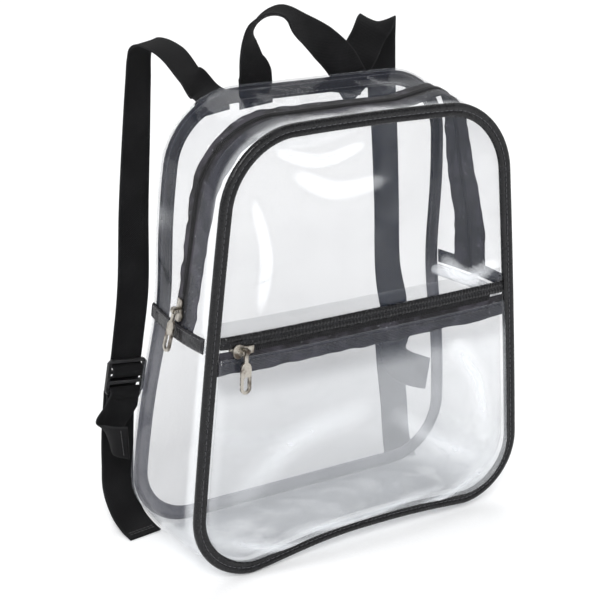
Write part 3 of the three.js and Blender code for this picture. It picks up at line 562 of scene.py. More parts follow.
class Draft:
    """Points and faces gathered for one piece, in millimetres."""

    def __init__(self) -> None:
        """Starts empty."""
        self.points: list[np.ndarray] = []
        self.runs: list[np.ndarray] = []
        self.faces: list[tuple[int, ...]] = []
        self.count = 0

    def add(self, points: np.ndarray, runs: np.ndarray, faces: Sequence[tuple[int, ...]]) -> None:
        """Adds a part.

        Args:
            points: N x 3 places.
            runs: N x 3 measures along, across, and milkiness and painted highlight.
            faces: Faces by the part's own point numbers.
        """
        self.points.append(np.asarray(points, float).reshape(-1, 3))
        self.runs.append(np.asarray(runs, float).reshape(-1, 3))
        self.faces.extend(tuple(k + self.count for k in face) for face in faces)
        self.count += len(self.points[-1])

    def sweep(self, sections: Sequence, runs: Sequence, closed: bool = False) -> "Draft":
        """Adds a solid that runs through closed sections.

        Args:
            sections: S x M x 3 places, each section a closed ring.
            runs: S x M x 3 measures.
            closed: True where the last section meets the first.

        Returns:
            This draft.
        """
        count, ring = np.shape(sections)[:2]
        faces = []
        for i in range(count if closed else count - 1):
            j = (i + 1) % count
            for k in range(ring):
                m = (k + 1) % ring
                faces.append((i * ring + k, j * ring + k, j * ring + m, i * ring + m))
        if not closed:
            faces.append(tuple(range(ring)))
            faces.append(tuple((count - 1) * ring + k for k in reversed(range(ring))))
        self.add(sections, runs, faces)
        return self

    def shell(self, outer: Sequence, inner: Sequence, runs: Sequence, wrap: bool = False) -> "Draft":
        """Adds a thin closed sheet between two grids of points.

        Args:
            outer: R x C x 3 places of one face.
            inner: R x C x 3 places of the other face.
            runs: R x C x 3 measures, the same for both faces.
            wrap: True where each row is a closed ring; the first is the rim and the last closes on itself.

        Returns:
            This draft.
        """
        outer, inner, runs = np.asarray(outer), np.asarray(inner), np.asarray(runs)
        rows, cols = outer.shape[:2]
        half = rows * cols
        faces = []
        spans = cols if wrap else cols - 1
        for r in range(rows - 1):
            for c in range(spans):
                d = (c + 1) % cols
                a, b, e, f = r * cols + c, r * cols + d, (r + 1) * cols + d, (r + 1) * cols + c
                faces.append((a, b, e, f))
                faces.append((half + a, half + f, half + e, half + b))
        if wrap:
            last = (rows - 1) * cols
            faces.append(tuple(last + c for c in range(cols)))
            faces.append(tuple(half + last + c for c in reversed(range(cols))))
            rim = list(range(cols)) + [0]
        else:
            top, bottom = list(range(cols)), [(rows - 1) * cols + c for c in range(cols)]
            left, right = [r * cols for r in range(rows)], [r * cols + cols - 1 for r in range(rows)]
            rim = top + right[1:] + bottom[::-1][1:] + left[::-1][1:]
        for a, b in zip(rim, rim[1:]):
            faces.append((a, half + a, half + b, b))
        self.add(np.concatenate([outer.reshape(-1, 3), inner.reshape(-1, 3)]),
                 np.concatenate([runs.reshape(-1, 3)] * 2), faces)
        return self

    def build(self, name: str, material: bpy.types.Material, slot: Slot, nodes: Sequence[str] = (),
              body: Body = Body.BAG) -> bpy.types.Object:
        """Makes the object.

        Args:
            name: The piece's name.
            material: Its finish.
            slot: Passed on to finish_piece, which does not use it.
            nodes: The CAD nodes it replaces.
            body: The body it rides on.

        Returns:
            The piece.
        """
        mesh = bpy.data.meshes.new(name)
        mesh.from_pydata((np.concatenate(self.points) * MM).tolist(), [], self.faces)
        held = mesh.attributes.new("run", "FLOAT_VECTOR", "POINT")
        held.data.foreach_set("vector", np.concatenate(self.runs).astype(np.float32).ravel())
        work = bmesh.new()
        work.from_mesh(mesh)
        bmesh.ops.recalc_face_normals(work, faces=work.faces)
        work.to_mesh(mesh)
        work.free()
        mesh.shade_smooth()
        return finish_piece(mesh, name, material, slot, nodes, body)


def finish_piece(mesh: bpy.types.Mesh, name: str, material: bpy.types.Material, slot: Slot,
                 nodes: Sequence[str], body: Body) -> bpy.types.Object:
    """Puts a mesh into the scene as a piece of the bag.

    Args:
        mesh: The mesh, in metres.
        name: The piece's name.
        material: Its finish.
        slot: Not used.
        nodes: The CAD nodes it replaces.
        body: The body it rides on.

    Returns:
        The piece.
    """
    piece = bpy.data.objects.new(name, mesh)
    bpy.context.scene.collection.objects.link(piece)
    mesh.materials.clear()
    mesh.materials.append(material)
    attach(piece, body.value)
    if nodes:
        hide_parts(*nodes)
    LOG.info("%s: %d faces", name, len(mesh.polygons))
    return piece


def rounded_copy(node: str, name: str, material: bpy.types.Material, slot: Slot, radius: float,
                 body: Body = Body.BAG) -> bpy.types.Object:
    """Copies a hard CAD node with its sharp edges rounded, and replaces it.

    Args:
        node: The CAD node.
        name: The new piece's name.
        material: Its finish.
        slot: Passed on to finish_piece, which does not use it.
        radius: The rounding in millimetres.
        body: The body it rides on.

    Returns:
        The piece.
    """
    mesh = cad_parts[node].data.copy()
    work = bmesh.new()
    work.from_mesh(mesh)
    bmesh.ops.remove_doubles(work, verts=work.verts, dist=1e-6)
    bmesh.ops.dissolve_limit(work, angle_limit=0.01, verts=work.verts, edges=work.edges)
    sharp = [edge for edge in work.edges if edge.is_manifold and edge.calc_face_angle(0.0) > 0.7]
    bmesh.ops.bevel(work, geom=sharp, offset=radius * MM, offset_type="OFFSET", segments=3, profile=0.5,
                    affect="EDGES", clamp_overlap=True)
    bmesh.ops.triangulate(work, faces=[face for face in work.faces if len(face.verts) > 4])
    bmesh.ops.recalc_face_normals(work, faces=work.faces)
    work.to_mesh(mesh)
    work.free()
    mesh.shade_smooth()
    mesh.set_sharp_from_angle(angle=math.radians(40))
    return finish_piece(mesh, name, material, slot, [node], body)


def reach_along(points: np.ndarray) -> np.ndarray:
    """The length along a path at each of its places."""
    return np.concatenate([[0.0], np.cumsum(np.linalg.norm(np.diff(points, axis=0), axis=1))])


def row_at(table: np.ndarray, reach: np.ndarray, distance: float) -> np.ndarray:
    """A table's row at a length along a path."""
    return np.array([np.interp(distance, reach, table[:, k]) for k in range(3)])


def add_stitches(draft: Draft, path: np.ndarray, normals: np.ndarray, length: float = 2.9,
                 space: float = 0.9, radius: float = 0.27) -> None:
    """Adds a row of thread stitches along a path.

    Args:
        draft: Where the stitches go.
        path: N x 3 places on the surface.
        normals: N x 3 directions away from the surface.
        length: Length of one stitch.
        space: Space between two stitches.
        radius: Radius of the thread.
    """
    reach = reach_along(path)
    shape = [(0.0, -0.5, 0.35), (0.12, 0.35, 0.9), (0.5, 0.75, 1.0), (0.88, 0.35, 0.9), (1.0, -0.5, 0.35)]
    turns = [math.tau * k / 6 for k in range(6)]
    start = space
    while start + length < reach[-1]:
        rings, runs = [], []
        for share, lift, thick in shape:
            at = start + share * length
            centre, ahead, out = row_at(path, reach, at), row_at(path, reach, at + 0.2), row_at(normals, reach, at)
            out /= np.linalg.norm(out)
            along = ahead - centre
            along = along / max(np.linalg.norm(along), 1e-9)
            side = np.cross(along, out)
            centre = centre + out * lift * radius
            rings.append([centre + radius * thick * (math.cos(t) * side + math.sin(t) * out) for t in turns])
            runs.append([(at, radius * t, 0.0) for t in turns])
        draft.sweep(rings, runs)
        start += length + space


def smooth_path(points: np.ndarray, per_span: int) -> np.ndarray:
    """A centripetal Catmull-Rom curve through points.

    Args:
        points: N x 3 places.
        per_span: Steps from one place to the next.

    Returns:
        The places along the curve.
    """
    ends = np.vstack([2 * points[0] - points[1], points, 2 * points[-1] - points[-2]])
    found = []
    for k in range(len(points) - 1):
        p = ends[k:k + 4]
        gaps = np.linalg.norm(np.diff(p, axis=0), axis=1) ** 0.5
        middle = gaps[1] if gaps[1] > 1e-4 else 1.0
        first = gaps[0] if gaps[0] > 1e-4 else middle
        last = gaps[2] if gaps[2] > 1e-4 else middle
        leave = ((p[1] - p[0]) / first - (p[2] - p[0]) / (first + middle) + (p[2] - p[1]) / middle) * middle
        arrive = ((p[2] - p[1]) / middle - (p[3] - p[1]) / (middle + last) + (p[3] - p[2]) / last) * middle
        for step in range(per_span):
            t = step / per_span
            found.append(p[1] + leave * t + (3 * (p[2] - p[1]) - 2 * leave - arrive) * t**2
                         + (2 * (p[1] - p[2]) + leave + arrive) * t**3)
    found.append(points[-1])
    return np.array(found)


# The bag's form


@dataclass(frozen=True)
class Loop:
    """An edge of the bag: places in the X-Z plane with their outward directions."""

    x: np.ndarray
    z: np.ndarray
    nx: np.ndarray
    nz: np.ndarray

    def inward(self, inset: float) -> np.ndarray:
        """The edge moved inwards."""
        return np.stack([self.x - self.nx * inset, self.z - self.nz * inset], axis=1)


@dataclass(frozen=True)
class Crease:
    """A fold in a clear sheet, along a bent line, in millimetres, with a painted highlight along it."""

    panel: Panel
    line: tuple[tuple[float, float], ...]
    width: float
    rise: float
    # The white painted along the fold, a painted highlight.
    milk_and_highlight: float

    def weight(self, x: np.ndarray, z: np.ndarray) -> np.ndarray:
        """How much of the fold is felt at each place.

        Args:
            x: Places across the bag.
            z: Heights.

        Returns:
            Shares from 0 to 1.
        """
        flat = np.array([(px, 0.0, pz) for px, pz in self.line])
        path = smooth_path(flat, 8) if len(flat) > 2 else np.linspace(flat[0], flat[-1], 12)
        best = np.full(np.shape(x), 1e9)
        share = np.zeros(np.shape(x))
        for k, (a, b) in enumerate(zip(path, path[1:])):
            dx, dz = b[0] - a[0], b[2] - a[2]
            t = np.clip(((x - a[0]) * dx + (z - a[2]) * dz) / max(dx * dx + dz * dz, 1e-9), 0, 1)
            far = np.hypot(x - a[0] - t * dx, z - a[2] - t * dz)
            share = np.where(far < best, (k + t) / (len(path) - 1), share)
            best = np.minimum(best, far)
        taper = np.clip(np.sin(math.pi * np.clip(share, 0.02, 0.98)), 0.0, 1.0) ** 0.6
        return np.exp(-((best / self.width) ** 2)) * taper


@dataclass(frozen=True)
class Dent:
    """A soft hollow in a sheet; places are shares of the half width and height."""

    panel: Panel
    side: float
    up: float
    wide: float
    tall: float
    depth: float


DENTS = (
    Dent(Panel.FRONT, -0.55, 0.86, 0.22, 0.07, 1.6),
    Dent(Panel.FRONT, 0.35, 0.8, 0.3, 0.08, -1.2),
    Dent(Panel.FRONT, 0.1, 0.66, 0.4, 0.05, 1.2),
    Dent(Panel.POCKET, -0.6, 0.1, 0.25, 0.07, 2.0),
    Dent(Panel.POCKET, 0.45, 0.12, 0.35, 0.05, -1.8),
    Dent(Panel.POCKET, 0.55, 0.34, 0.2, 0.12, 1.8),
    Dent(Panel.BACK, 0.3, 0.6, 0.35, 0.12, -1.5),
    Dent(Panel.BACK, -0.4, 0.35, 0.3, 0.1, 1.5),
)

# Folds in the clear sheets; the last number of each is the white painted along it, a painted highlight.
CREASES = (
    Crease(Panel.POCKET, ((-112, 30), (-70, 14), (0, 12), (60, 16), (108, 34)), 3.0, -1.6, 0.8),
    Crease(Panel.POCKET, ((-60, 22), (-10, 20), (60, 27)), 2.6, -1.0, 0.55),
    Crease(Panel.POCKET, ((20, 90), (60, 60), (100, 40)), 4.0, 1.2, 0.3),
    Crease(Panel.POCKET, ((70, 130), (90, 100), (100, 60)), 4.0, -1.2, 0.5),
    Crease(Panel.POCKET, ((-100, 60), (-60, 90), (-10, 100)), 6.0, 1.2, 0.3),
    Crease(Panel.FRONT, ((-70, 278), (-40, 270), (-10, 276)), 2.6, -0.8, 0.7),
    Crease(Panel.FRONT, ((-60, 264), (-30, 250), (10, 252)), 5.0, 1.0, 0.25),
    Crease(Panel.FRONT, ((60, 190), (80, 175), (104, 180)), 4.0, -1.2, 0.6),
    Crease(Panel.FRONT, ((-88, 250), (-80, 215), (-84, 180)), 3.0, -0.8, 0.4),
    Crease(Panel.BACK, ((-60, 270), (-10, 262), (60, 272)), 5.0, 1.2, 0.25),
    Crease(Panel.BACK, ((-80, 60), (-20, 44), (60, 50)), 6.0, 1.4, 0.25),
)


@dataclass(frozen=True)
class BagForm:
    """The bag's main sizes in millimetres and the surfaces that its pieces follow."""

    back_height: float = 305.0
    front_height: float = 294.0
    bottom_width: float = 271.0
    top_width: float = 215.0
    bottom_depth: float = 85.0
    top_depth: float = 69.5
    top_radius: float = 52.0
    bottom_radius: float = 45.0
    side_bow: float = 2.0
    front_arch: float = 9.0
    corner_lift: float = 5.0
    top_crown: float = 3.0
    seam_height: float = 162.0
    waist: float = 6.0
    waist_reach: float = 50.0
    sheet: float = 1.0
    gap: float = 0.3
    upper_bulge: float = 1.5
    lower_bulge: float = 4.0
    bulge_blend: float = 60.0
    front_bulge: float = 3.0
    back_bulge: float = 2.0
    pocket_bulge: float = 4.0
    pocket_depth: float = 7.0
    binding_width: float = 9.0
    binding_thickness: float = 4.5
    gusset_set: float = 1.2
    zip_tape: float = 0.7
    pocket_zip_height: float = 158.0
    pocket_panel_top: float = 152.95
    pocket_wall_top: float = 176.0
    arch_start: float = 0.4
    slider_width: float = 9.5
    steps: tuple[int, int, int, int, int, int] = (20, 24, 16, 20, 28, 16)
    zip_line: tuple[tuple[float, float, float, float], ...] = (
        (0, 0.545, 13, 13), (0.06, 0.56, 13, 13.5), (0.11, 0.68, 13, 13), (0.15, 0.75, 11, 11),
        (0.2, 0.76, 9, 10), (0.32, 0.52, 8, 10), (0.44, 0.24, 6, 10), (0.5, 0.24, 7, 11), (0.6, 0.24, 9, 12),
        (0.7, 0.28, 6, 14), (0.8, 0.32, 5, 15), (0.9, 0.37, 5, 14), (1, 0.45, 5, 14))

    def __post_init__(self) -> None:
        """Works out the three edges once."""
        bottom, lower_corner, lower_side, upper_side, upper_corner, top = self.steps
        half = 2 + bottom + lower_corner + lower_side + upper_side + upper_corner + top
        facts = {
            "half_count": half,
            "seam_low": bottom + lower_corner + lower_side,
            "seam_high": bottom + lower_corner + lower_side + 1,
            "count": 2 * half - 2,
        }
        for name, value in facts.items():
            object.__setattr__(self, name, value)
        object.__setattr__(self, "front_loop", self.outline(self.front_height, self.top_crown, 0, self.front_arch,
                                                             self.corner_lift))
        object.__setattr__(self, "level_loop", self.outline(self.front_height, self.top_crown, 0))
        object.__setattr__(self, "back_loop", self.outline(self.back_height, 0, self.waist))

    def half_outline(self, height: float) -> np.ndarray:
        """The right half of an edge, from the bottom's middle to the top's middle.

        Args:
            height: The edge's height.

        Returns:
            N x 2 places.
        """
        slope = math.atan2((self.bottom_width - self.top_width) / 2, height)
        bottom_set = self.bottom_radius / math.tan((math.pi / 2 - slope) / 2)
        top_set = self.top_radius / math.tan((math.pi / 2 + slope) / 2)
        low = np.array([self.bottom_width / 2 - bottom_set, self.bottom_radius])
        high = np.array([self.top_width / 2 - top_set, height - self.top_radius])

        def arc(centre: np.ndarray, radius: float, angle: float) -> np.ndarray:
            """Returns a place on a circle."""
            return centre + radius * np.array([math.cos(angle), math.sin(angle)])

        foot, head = arc(low, self.bottom_radius, slope), arc(high, self.top_radius, slope)

        def side(z: float) -> np.ndarray:
            """Returns the place on the straight side at a height."""
            return foot + (head - foot) * (z - foot[1]) / (head[1] - foot[1])

        n_bottom, n_low, n_lower, n_upper, n_high, n_top = self.steps
        seam_low, seam_high = self.seam_height - self.gap / 2, self.seam_height + self.gap / 2
        quarter = math.pi / 2
        points = [np.array([low[0] * k / n_bottom, 0.0]) for k in range(n_bottom + 1)]
        points += [arc(low, self.bottom_radius, -quarter + (slope + quarter) * k / n_low) for k in range(1, n_low + 1)]
        points += [side(foot[1] + (seam_low - foot[1]) * k / n_lower) for k in range(1, n_lower + 1)]
        points += [side(seam_high + (head[1] - seam_high) * k / n_upper) for k in range(n_upper + 1)]
        points += [arc(high, self.top_radius, slope + (quarter - slope) * k / n_high) for k in range(1, n_high + 1)]
        points += [np.array([high[0] * (1 - k / n_top), height]) for k in range(1, n_top + 1)]
        return np.array(points)

    def outline(self, height: float, crown: float, draw_in: float, arch: float = 0.0, rise: float = 0.0) -> Loop:
        """A whole edge, anticlockwise from the bottom's middle as seen from the front.

        Args:
            height: The edge's height.
            crown: Lift of its upper side at mid width.
            draw_in: How far its sides draw in at the seam.
            arch: Lift of its lower side between the corners.
            rise: Lift of its lower right corner.

        Returns:
            The edge.
        """
        x, z = self.half_outline(height).T
        share = z / height
        arch_half = self.bottom_width / 2 - self.bottom_radius
        side = smoothstep(x, 0.2 * self.top_width, 0.4 * self.top_width)
        bow = self.side_bow * 4 * share * (1 - share)
        drawn = draw_in * np.exp(-(((z - self.seam_height) / self.waist_reach) ** 2))
        half_width = (self.bottom_width + (self.top_width - self.bottom_width) * share) / 2
        lift = arch * np.maximum(0, 1 - (x / arch_half) ** 2) ** 1.5 * (1 - share) ** 3
        lift = lift + crown * np.maximum(0, 1 - (x / half_width) ** 2) * share**3
        right = np.stack([x + side * (bow - drawn), z + lift], axis=1)
        left = right[1:-1][::-1] * np.array([-1.0, 1.0])
        whole = np.vstack([right, left])
        whole[:, 1] += rise * smoothstep(whole[:, 0], 0, arch_half) * (1 - whole[:, 1] / height) ** 3
        ahead, behind = np.roll(whole, -1, axis=0), np.roll(whole, 1, axis=0)
        along = ahead - behind
        along /= np.linalg.norm(along, axis=1)[:, None]
        return Loop(whole[:, 0], whole[:, 1], along[:, 1], -along[:, 0])

    def depth_at(self, z: np.ndarray | float) -> np.ndarray | float:
        """Returns the bag's depth at a height."""
        return self.bottom_depth + (self.top_depth - self.bottom_depth) * z / self.back_height

    def front_y(self, z: np.ndarray | float) -> np.ndarray | float:
        """Returns the front plane's Y at a height."""
        return -self.depth_at(z) / 2

    def back_y(self, z: np.ndarray | float) -> np.ndarray | float:
        """Returns the back plane's Y at a height."""
        return self.depth_at(z) / 2

    def panel_half(self, z: np.ndarray | float) -> np.ndarray | float:
        """Returns half the bag's width at a height."""
        return (self.bottom_width + (self.top_width - self.bottom_width) * z / self.front_height) / 2

    def pillow(self, x: np.ndarray, z: np.ndarray, low: float, high: float, power: float) -> np.ndarray:
        """A cushion shape that is 1 in the middle and 0 at the edges.

        Args:
            x: Places across the bag.
            z: Heights.
            low: The lower edge.
            high: The upper edge.
            power: How flat the middle is.

        Returns:
            Shares from 0 to 1.
        """
        across = np.minimum(1, np.abs(x) / self.panel_half(z))
        upward = np.minimum(1, np.abs(2 * z - low - high) / (high - low))
        return (1 - across**power) * (1 - upward**power)

    def dented(self, panel: Panel, x: np.ndarray, z: np.ndarray) -> np.ndarray:
        """Depth of a panel's dents and creases.

        Args:
            panel: Which sheet.
            x: Places across the bag.
            z: Heights.

        Returns:
            Millimetres towards the back.
        """
        total = np.zeros(np.shape(x))
        for dent in DENTS:
            if dent.panel is panel:
                across = (x / self.panel_half(z) - dent.side) / dent.wide
                upward = (z / self.back_height - dent.up) / dent.tall
                total = total + dent.depth * np.exp(-(across**2) - upward**2)
        for crease in CREASES:
            if crease.panel is panel:
                total = total + crease.rise * crease.weight(x, z)
        return total

    def front_skin(self, x: np.ndarray, z: np.ndarray) -> np.ndarray:
        """The curved front that the sheets and the pocket's zip follow."""
        return self.front_y(z) - self.front_bulge * self.pillow(x, z, 0, self.front_height, 4)

    def panel_y(self, panel: Panel, x: np.ndarray, z: np.ndarray, creased: bool = True) -> np.ndarray:
        """The middle of a clear sheet.

        Args:
            panel: Which sheet.
            x: Places across the bag.
            z: Heights.
            creased: False leaves the dents and creases out.

        Returns:
            Y at each place.
        """
        outer = -self.zip_tape / 2 - self.gap - self.sheet / 2
        inner = -outer
        dents = self.dented(panel, x, z) if creased else 0.0
        if panel is Panel.FRONT:
            return self.front_skin(x, z) + inner + smoothstep(np.abs(z - self.pocket_zip_height), 16, 30) * dents
        if panel is Panel.POCKET:
            top = self.pocket_panel_top
            fade = smoothstep(top - z, 0, 20)
            return self.front_skin(x, z) + outer - self.pocket_bulge * self.pillow(x, z, 0, top, 4) + fade * dents
        if panel is Panel.WALL:
            wall = inner + self.sheet + self.gap
            return self.front_skin(x, z) + wall + self.pocket_depth * self.pillow(x, z, 0, self.pocket_wall_top, 6)
        cushion = self.pillow(x, z, 0, self.back_height, 4)
        return self.back_y(z) + self.gap + self.sheet / 2 + cushion * (self.back_bulge + dents)

    def bulge_at(self, z: float) -> float:
        """Returns how far the gusset curves out at a height."""
        high = smoothstep(z, self.seam_height - self.bulge_blend, self.seam_height + self.bulge_blend)
        return float(self.lower_bulge + (self.upper_bulge - self.lower_bulge) * high)

    def wall_point(self, i: int, share: float, inset: float) -> np.ndarray:
        """A place on the gusset.

        Args:
            i: Number of the edge point.
            share: Place in the depth, 0 at the front and 1 at the back.
            inset: Millimetres inside the outer face.

        Returns:
            The place.
        """
        arched = max(0.0, 1 - share / self.arch_start) ** 2
        level, front, back = self.level_loop, self.front_loop, self.back_loop
        fx = front.x[i] - front.nx[i] * self.gusset_set
        fz = front.z[i] - front.nz[i] * self.gusset_set
        sx = level.x[i] + (fx - level.x[i]) * arched
        sz = level.z[i] + (fz - level.z[i]) * arched
        x = sx + (back.x[i] - sx) * share
        z = sz + (back.z[i] - sz) * share
        out = self.bulge_at(z) * math.sin(math.pi * share) * abs(back.nx[i]) - inset
        face = self.binding_thickness / 2 + self.gap
        y = self.front_y(z) + face + (self.depth_at(z) - face) * share
        return np.array([x + back.nx[i] * out, y, max(inset, z + back.nz[i] * out)])

    def zip_share(self, i: int, column: int = 1) -> float:
        """Reads the main zip's table at an edge point.

        Args:
            i: Number of the edge point.
            column: 1 its place in the depth, 2 its rear tape's width, 3 its front tape's width.

        Returns:
            The value.
        """
        table = np.array(self.zip_line)
        span = self.count - 2 * self.seam_high
        return float(np.interp((i - self.seam_high) / span, table[:, 0], table[:, column]))

    def over_top(self) -> list[int]:
        """Returns the edge points from the right joint over the top to the left joint."""
        return list(range(self.seam_high, self.count - self.seam_high + 1))

    def under_bottom(self) -> list[int]:
        """Returns the edge points from the left joint under the bottom to the right joint."""
        return [k % self.count for k in range(self.count - self.seam_low, self.count + self.seam_low + 1)]

    def trimmed(self, height: float | None, keep_below: bool, steps: int = 70) -> np.ndarray:
        """The opening inside the front binding, cut off at a height.

        Args:
            height: The level of the cut, or None for the whole opening.
            keep_below: Which side of the cut stays.
            steps: Points along the cut.

        Returns:
            N x 2 places.
        """
        edge = self.front_loop.inward(self.binding_width + self.gap)
        if height is None:
            return edge
        kept: list[np.ndarray] = []
        for k, point in enumerate(edge):
            after = edge[(k + 1) % len(edge)]
            here = point[1] <= height if keep_below else point[1] >= height
            there = after[1] <= height if keep_below else after[1] >= height
            if here:
                kept.append(point)
            if here != there:
                share = (height - point[1]) / (after[1] - point[1])
                kept.append(np.array([point[0] + (after[0] - point[0]) * share, height]))
        filled: list[np.ndarray] = []
        for k, point in enumerate(kept):
            filled.append(point)
            after = kept[(k + 1) % len(kept)]
            level = abs(point[1] - height) < 1e-6 and abs(after[1] - height) < 1e-6
            if level and abs(after[0] - point[0]) > 2 * self.binding_width:
                filled += [point + (after - point) * s / steps for s in range(1, steps)]
        return np.array(filled)

    def reach_at(self, z: float) -> float:
        """Returns half the width of the opening inside the binding at a height."""
        level = self.trimmed(z, True, 1)
        return float(np.abs(level[np.abs(level[:, 1] - z) < 1e-6][:, 0]).max())

    def rim_height(self, x: float) -> float:
        """Returns the back edge's height above a place across the bag."""
        upper = [(px, pz) for px, pz in zip(self.back_loop.x, self.back_loop.z) if pz > self.seam_height]
        xs, zs = zip(*sorted(upper))
        return float(np.interp(x, xs, zs))


# Clear sheets


@dataclass
class ClearPanels:
    """The front, pocket, pocket wall and back sheets."""

    form: BagForm
    rings: int = 34
    ripple_height: float = 0.45
    ripple_length: float = 42.0

    def shape(self, panel: Panel, edge: np.ndarray, middle: tuple[float, float]) -> Draft:
        """Draws one sheet over its edge in rings that shrink to its middle.

        Args:
            panel: Which sheet.
            edge: N x 2 places of its edge.
            middle: The place that the rings shrink to.

        Returns:
            The sheet's draft.
        """
        form = self.form
        shares = np.concatenate([np.linspace(1.0, 0.06, self.rings), [0.015]])
        centre = np.array(middle)
        grid = centre + (edge[None] - centre) * shares[:, None, None]
        x, z = grid[..., 0], grid[..., 1]
        y = form.panel_y(panel, x, z)
        waves = np.array([ripple((px, 0, pz), self.ripple_length, 7.0 + list(Panel).index(panel))
                          for px, pz in zip(x.ravel(), z.ravel())]).reshape(x.shape)
        inside = np.minimum(1.0, (1 - shares)[:, None] * 6) * np.ones_like(x)
        zip_clear = smoothstep(np.abs(z - form.pocket_zip_height), 16, 30) if panel is not Panel.BACK else 1.0
        y = y + self.ripple_height * waves * inside * zip_clear
        milk_and_highlight = self.milk_and_highlight(panel, x, z, shares[:, None] * np.ones_like(x))
        runs = np.stack([x, z, milk_and_highlight], axis=-1)
        half = form.sheet / 2
        return Draft().shell(np.stack([x, y - half, z], axis=-1), np.stack([x, y + half, z], axis=-1), runs, True)

    def milk_and_highlight(self, panel: Panel, x: np.ndarray, z: np.ndarray, shares: np.ndarray) -> np.ndarray:
        """How white the sheet is at each place: whiter in the lower pocket and its wall, a little at its edge, and a
        painted highlight along each crease.

        Args:
            panel: Which sheet.
            x: Places across the bag.
            z: Heights.
            shares: 1 at the sheet's edge and 0 at its middle.

        Returns:
            Shares from 0 to 1.
        """
        milky = 0.075 if panel in (Panel.POCKET, Panel.WALL) else 0.0
        total = milky * (1 - smoothstep(z, 124, 140)) + 0.05 * smoothstep(shares, 0.95, 1.0)
        for crease in CREASES:
            if crease.panel is panel:
                total = total + crease.milk_and_highlight * crease.weight(x, z)
        return np.clip(total, 0, 1)

    def build(self, finishes: Finishes) -> list[bpy.types.Object]:
        """Makes the four sheets.

        Args:
            finishes: The finishes.

        Returns:
            The pieces.
        """
        form = self.form
        low = form.pocket_zip_height + form.slider_width / 2 + form.gap
        back_edge = np.stack([form.back_loop.x, form.back_loop.z], axis=1)
        middle_of_front = (form.front_height + form.pocket_zip_height) / 2
        plans = (
            (Panel.FRONT, form.trimmed(low, False), middle_of_front, "front_sheet", "front_panel"),
            (Panel.POCKET, form.trimmed(form.pocket_panel_top, True), form.pocket_panel_top / 2, "pocket_sheet",
             "pocket_panel"),
            (Panel.WALL, form.trimmed(form.pocket_wall_top, True), form.pocket_wall_top / 2, "pocket_inner_sheet",
             "pocket_back"),
            (Panel.BACK, back_edge, form.front_height / 2, "back_sheet", "back_panel"),
        )
        made = []
        for panel, edge, height, name, node in plans:
            piece = self.shape(panel, edge, (0.0, height)).build(name, finishes.vinyl, Slot.SHEET, [node])
            width, tall = np.ptp(edge[:, 0]) * MM, np.ptp(edge[:, 1]) * MM
            turned = np.roll(edge, -1, axis=0)
            made.append(piece)
        return made


